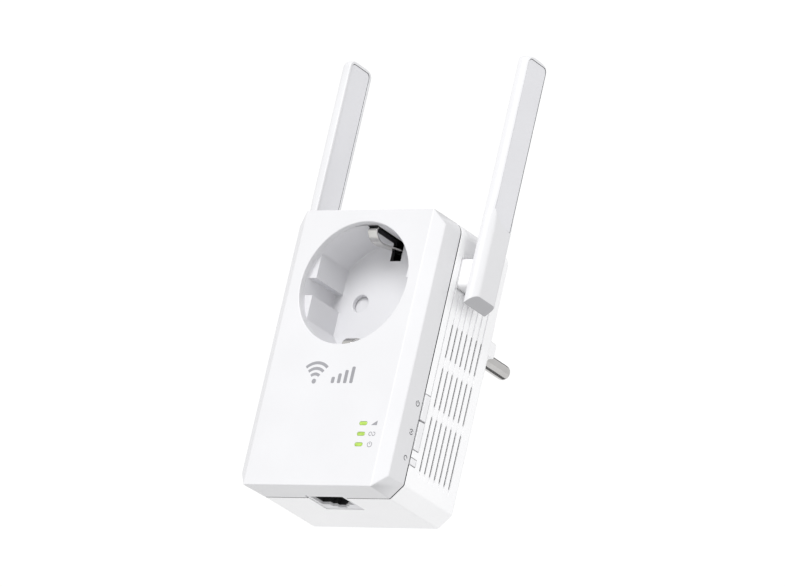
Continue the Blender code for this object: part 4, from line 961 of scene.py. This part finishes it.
def keys():
    wall_x = HALF_WIDTH - WALL
    for node in KEYS:
        low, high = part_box(node)
        centre = ((KEY_NEAR_Y + KEY_FAR_Y) / 2, (low.z + high.z) / 2)
        half_y, half_z = (KEY_FAR_Y - KEY_NEAR_Y) / 2, (high.z - low.z) / 2
        cap = block(half_y, half_z, centre, 0.00025)
        form = prism("X", cap, wall_x - 0.0012, high.x - 0.0002, 0.0, 0.00015)
        key = new_object(node.replace("button", "key"), form, (KEY_WHITE,))
        lip = block(half_y + KEY_LIP, half_z, centre, 0.0002)
        join(key, prism("X", lip, wall_x - 0.0013, wall_x - GAP, 0.0001, 0.0001))
        join(key, prism("X", block(0.0008, 0.0008, centre, 0.0002), low.x, wall_x - 0.0008, 0.0002, 0.0))
        settle(key, node, "button_white", node)


# ---------- antennas
def hinge_blocks():
    for side, name in SIDES:
        low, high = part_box("hinge_boss_right")
        corners = [(low.y, low.z, 0.0016), (high.y, low.z, 0.0016),
                   (high.y, high.z, 0.0006), (low.y, high.z, 0.0006)]
        start = HALF_WIDTH - POCKET_DEPTH + 0.00015
        form = prism("X", polygon(corners, 6), start, high.x, 0.0, 0.0004)
        block_piece = new_object("hinge_block_" + name, mirrored(form, side), (HOUSING_WHITE,))
        neck = prism("X", disc(0.0037, HINGE_PLACE, 48), low.x, start + 0.0005)
        join(block_piece, mirrored(neck, side))
        bore = flared("X", disc(HINGE_BORE, HINGE_PLACE, 48), low.x - WALL, high.x, 0.0002)
        cut(block_piece, mirrored(bore, side))
        settle(block_piece, "housing", "casing_white", "hinge_boss_" + name)



def antenna_section(z):
    share = min(max((z - PIVOT_Z - ANTENNA_SHOULDER) / ANTENNA_TAPER, 0.0), 1.0)
    blend = share * share * (3 - 2 * share)
    return [low + (high - low) * blend for low, high in zip(ANTENNA_BASE, ANTENNA_PADDLE)]


def antenna_ring(z, tip_inset=0.0, lift=0.0, shrink=0.0):
    """A section of an antenna: flat inside, a long nose in front and a short heel behind."""
    depth, thickness, nose = antenna_section(z)
    half = depth / 2 - tip_inset - shrink
    rise = thickness - 2 * ANTENNA_EDGE - shrink
    heel = ANTENNA_HEEL
    outer = thickness - shrink
    quarters = (
        ((half - heel, outer - heel), (heel, heel)),
        ((nose - half, outer - rise), (nose, rise)),
        ((ANTENNA_EDGE - half, ANTENNA_EDGE + shrink), (ANTENNA_EDGE, ANTENNA_EDGE)),
        ((half - ANTENNA_EDGE, ANTENNA_EDGE + shrink), (ANTENNA_EDGE, ANTENNA_EDGE)),
    )
    points = []
    for quarter, (centre, reach) in enumerate(quarters):
        for u, v in arc(1.0, 90 * quarter, 90 * quarter + 90, 8):
            x = centre[1] + v * reach[1]
            y = PIVOT_Y + centre[0] + u * reach[0]
            points.append(Vector((ANTENNA_X + x, y, z + lift * x / thickness)))
    return points


def antenna_form():
    lift = ANTENNA_END_LIFT
    rings = [antenna_ring(ANTENNA_LOW_Z, lift=lift, shrink=0.0003),
             antenna_ring(ANTENNA_LOW_Z + 0.0001, lift=lift, shrink=0.0001),
             antenna_ring(ANTENNA_LOW_Z + 0.0003, lift=lift)]
    rings.append(antenna_ring(PIVOT_Z + 0.0045))
    steps = 12
    for i in range(steps + 1):
        rings.append(antenna_ring(PIVOT_Z + ANTENNA_SHOULDER + ANTENNA_TAPER * i / steps))
    for u, v in arc(1.0, 0, 90, 8):
        z = ANTENNA_HIGH_Z - ANTENNA_TIP * (1 - v)
        rings.append(antenna_ring(z, ANTENNA_TIP * (1 - u), 0.0, 0.0005 * v ** 6))
    form = loft(rings)
    # faces at the low end that point down get the mid-grey painted shade
    for face in form.faces:
        if face.calc_center_median().z < ANTENNA_LOW_Z + ANTENNA_END_LIFT and face.normal.z < -0.5:
            face.material_index = 2
    return form


def panel_outline(inset=0.0):
    """A panel's outline, moved in by inset: straight sides, round top, and a foot that arches up in front."""
    half = ANTENNA_PADDLE[0] / 2 - PANEL_RIM - inset
    top = ANTENNA_HIGH_Z - PANEL_RIM - inset
    foot = PIVOT_Z + PANEL_FOOT + inset
    points = arc(PANEL_CORNER, 0, 90, 6, (PIVOT_Y + half - PANEL_CORNER, top - PANEL_CORNER))
    points += arc(PANEL_CORNER, 90, 180, 6, (PIVOT_Y - half + PANEL_CORNER, top - PANEL_CORNER))
    steps = 16
    for i in range(steps + 1):
        share = i / steps
        points.append((PIVOT_Y - half + 2 * half * share, foot + PANEL_ARCH * (1 - share) ** 2.4))
    return points


def panel_pocket(grow=0.0):
    return panel_outline(-grow)


def panel_window(grow=0.0):
    """The opening between the two panels; it leaves a ledge behind each."""
    return panel_outline(PANEL_LEDGE - grow)


def panel_plate(grow=0.0):
    return panel_outline(PANEL_SEAT - grow)


def antennas():
    outer_x = ANTENNA_X + ANTENNA_PADDLE[1]
    pocket = PANEL_THICKNESS + PANEL_SINK
    mouths = ((outer_x - pocket, outer_x, -PANEL_SINK), (ANTENNA_X + pocket, ANTENNA_X, PANEL_SINK))
    faces = (("outer", outer_x - pocket + 0.00002, outer_x - PANEL_SINK),
             ("inner", ANTENNA_X + pocket - 0.00002, ANTENNA_X + PANEL_SINK))
    axle_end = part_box("hinge_axle_right")[1].x + GAP
    for side, name in SIDES:
        body = "antenna_" + name
        shell = new_object("antenna_body_" + name, mirrored(antenna_form(), side),
                           (ANTENNA_WHITE, SHADE_DARK, END_SHADE_GREY))
        for deep, mouth, lip in mouths:
            # the pocket walls below the panel's face get the dark painted shade of the gap round the panel
            hollow = flared("X", panel_pocket, deep, mouth, 0.00012, steps=2, painted_shade_below=mouth + lip)
            cut(shell, mirrored(hollow, side))
        window = stack("X", panel_window, [(ANTENNA_X - WALL, 0.0), (outer_x + WALL, 0.0)])
        cut(shell, mirrored(window, side))
        bore = prism("X", disc(HINGE_BORE, HINGE_PLACE, 48), ANTENNA_X - WALL, axle_end)
        cut(shell, mirrored(bore, side))
        settle(shell, body, "casing_white", "antenna_shell_" + name, sharp_deg=40)
        for face, start, stop in faces:
            form = stack("X", panel_plate, soft_levels(start, stop, 0.0, 0.00012, 2))
            panel = new_object(f"antenna_plate_{face}_{name}", mirrored(form, side), (PANEL_GREY,))
            settle(panel, body, "antenna_panel", f"antenna_{name}_{face}_panel")


# ---------- printed marks
def print_on(name, outlines, axis, start, stop, finish):
    """Thin printed shapes on a face."""
    bm = bmesh.new()
    for outline in outlines:
        rings = [[at(axis, u, v, w) for u, v in outline] for w in (start, stop)]
        loft(rings, bm)
    mark = new_object(name, bm, (finish,))
    settle(mark, "housing", "casing_white")


def band(radius, width, first_deg, last_deg, centre, steps=20):
    outer = arc(radius + width / 2, first_deg, last_deg, steps, centre)
    return outer + arc(radius - width / 2, last_deg, first_deg, steps, centre)


def bar(u, v, half_u, half_v):
    return block(half_u, half_v, (u, v), half_u * 0.6, 3)()


def front_marks():
    start, stop = FRONT_Y + 0.00001, FRONT_Y + 0.0001
    stroke = 0.00024
    root = (-0.0062, SOCKET_Z - 0.0318)
    arcs = [arc(0.0008, 0, 360, 20, root)[:-1]]
    arcs += [band(radius, 0.00095, 48, 132, root) for radius in (0.0023, 0.0041, 0.0059)]
    for i in range(4):
        height = 0.0010 + 0.00055 * i
        arcs.append(bar(0.0008 + 0.0023 * i, root[1] - 0.0006 + height, 0.0006, height))
    power, link, signal = (middle(n) for n in LAMPS)
    x = power.x + 0.0041
    wedge = rounded([(x - 0.0011, signal.z - 0.0006, 0.00005), (x + 0.0011, signal.z - 0.0006, 0.00005),
                     (x + 0.0011, signal.z + 0.0009, 0.00005)], 0.0, 2)
    rings = [band(0.00055, stroke, 0, 300, (x - 0.0006, link.z)),
             band(0.00055, stroke, 180, 480, (x + 0.0006, link.z))]
    symbol = [band(0.0008, stroke, 125, 415, (x, power.z)), bar(x, power.z + 0.0005, 0.00013, 0.0005)]
    marks = {"front_mark": arcs, "signal_mark": [wedge], "link_mark": rings, "power_mark": symbol}
    for name, outlines in marks.items():
        print_on(name, outlines, "Y", start, stop, PRINT_GREY)


def key_marks():
    start, stop = HALF_WIDTH - 0.00005, HALF_WIDTH + 0.00003
    y = COVER_BACK_Y - 0.0023
    stroke = 0.00026
    power, pairing, reset = (middle(n).z for n in KEYS)
    symbol = [band(0.0008, stroke, 125, 415, (y, power)), bar(y, power + 0.0005, 0.00014, 0.0005)]
    arrows = [band(0.0008, stroke, 20, 160, (y, pairing)), band(0.0008, stroke, 200, 340, (y, pairing)),
              arc(0.00028, 0, 360, 16, (y, pairing))[:-1]]
    ring = [band(0.0007, stroke, 0, 285, (y, reset))]
    marks = {"power_key_mark": symbol, "pairing_key_mark": arrows, "reset_key_mark": ring}
    for name, outlines in marks.items():
        print_on(name, outlines, "X", start, stop, PRINT_DARK)


# ---------- what stays as CAD made it
def finish_inner_pieces():
    """Give each CAD piece that still shows its finish, by name."""
    ferrite = plastic("ferrite", (0.06, 0.055, 0.05), 0.65, grain=1400.0, relief=0.00002, spread=0.2)
    sleeve = plastic("capacitor_sleeve", (0.04, 0.05, 0.12), 0.3, spread=0.15)
    leads = {
        "line_lead": plastic("lead_brown", (0.22, 0.10, 0.05), 0.5, spread=0.12),
        "neutral_lead": plastic("lead_blue", (0.05, 0.14, 0.45), 0.5, spread=0.12),
        "earth_lead": plastic("lead_green", (0.35, 0.55, 0.10), 0.5, spread=0.12),
        "coax_lead": plastic("lead_grey", (0.35, 0.35, 0.36), 0.5, spread=0.08),
    }
    finishes = {
        "socket_shutter": SOCKET_WHITE, "shutter_spring": STEEL, "contact": BRASS, "radio_shield": TIN,
        "board": BOARD_GREEN, "antenna_element": ANTENNA_BOARD, "transformer": ferrite, "capacitor": sleeve,
        "mains_fuse": plastic("fuse_tube", (0.75, 0.72, 0.66), 0.28), "processor": BLACK, "lamp": LAMP_LENS,
        "switch": BLACK, "axle": STEEL, "washer": STEEL, **leads,
    }
    for name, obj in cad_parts.items():
        if obj.hide_render or obj.type != "MESH":
            continue
        finish = next((made for key, made in finishes.items() if key in name), BLACK)
        obj.data.materials.clear()
        obj.data.materials.append(finish)
        for face in obj.data.polygons:
            face.material_index = 0


# ---------- stage
def place_camera(scene):
    camera = bpy.data.objects.new("camera", bpy.data.cameras.new("camera"))
    scene.collection.objects.link(camera)
    camera.data.lens = CAMERA_LENS
    camera.data.sensor_width = 36
    turn = Matrix((CAMERA_RIGHT, CAMERA_UP, CAMERA_BACK)).transposed().to_4x4()
    aim = Vector((0, FRONT_Y, SOCKET_Z)) + CAMERA_RIGHT * AIM_RIGHT + CAMERA_UP * AIM_UP
    turn.translation = aim + CAMERA_BACK * CAMERA_DISTANCE
    camera.matrix_world = turn
    scene.camera = camera


def white_background(node, strength):
    node.inputs["Color"].default_value = (1.0, 1.0, 1.0, 1.0)
    node.inputs["Strength"].default_value = strength
    return node.outputs["Background"]


def light_world(scene):
    """An even white room, a little brighter where the camera sees it."""
    world = bpy.data.worlds.new("studio")
    scene.world = world
    world.use_nodes = True
    tree = world.node_tree
    light = white_background(tree.nodes["Background"], WORLD_LIGHT)
    seen = white_background(tree.nodes.new("ShaderNodeBackground"), WORLD_SEEN)
    path = tree.nodes.new("ShaderNodeLightPath")
    mix = tree.nodes.new("ShaderNodeMixShader")
    tree.links.new(path.outputs["Is Camera Ray"], mix.inputs["Fac"])
    tree.links.new(light, mix.inputs[1])
    tree.links.new(seen, mix.inputs[2])
    tree.links.new(mix.outputs["Shader"], tree.nodes["World Output"].inputs["Surface"])


def square(name, half, finish):
    bm = bmesh.new()
    bmesh.ops.create_grid(bm, x_segments=1, y_segments=1, size=half)
    return new_object(name, bm, (finish,))


def facing(direction):
    """The turn that points an object's local Z along a direction."""
    return Vector(direction).to_track_quat("Z", "Y").to_euler()


def stage():
    scene = bpy.context.scene
    scene.view_settings.view_transform = "Standard"
    place_camera(scene)
    light_world(scene)
    for name, towards, strength, angle in SUNS:
        lamp = bpy.data.objects.new(name, bpy.data.lights.new(name, "SUN"))
        lamp.data.energy = strength
        lamp.data.angle = math.radians(angle)
        lamp.rotation_euler = facing(towards)
        scene.collection.objects.link(lamp)
    for name, place, half in FLAGS:
        flag = square(name, half, BLACK)
        flag.location = place
        flag.rotation_euler = facing(place)
        flag.visible_camera = False
        flag.visible_diffuse = False
        flag.visible_shadow = False
    floor = square("floor", FLOOR_HALF, plastic("floor_pale", (0.82, 0.82, 0.82), 0.8, grain=40.0))
    floor.location.z = BOTTOM_Z - FLOOR_DROP


front_cover()
rear_housing()
casing_screws()
socket_well()
earth_clips()
plug_body()
plug_side_contacts()
plug_pins()
ethernet_port()
light_pipe()
keys()
hinge_blocks()
antennas()
front_marks()
key_marks()
finish_inner_pieces()
stage()
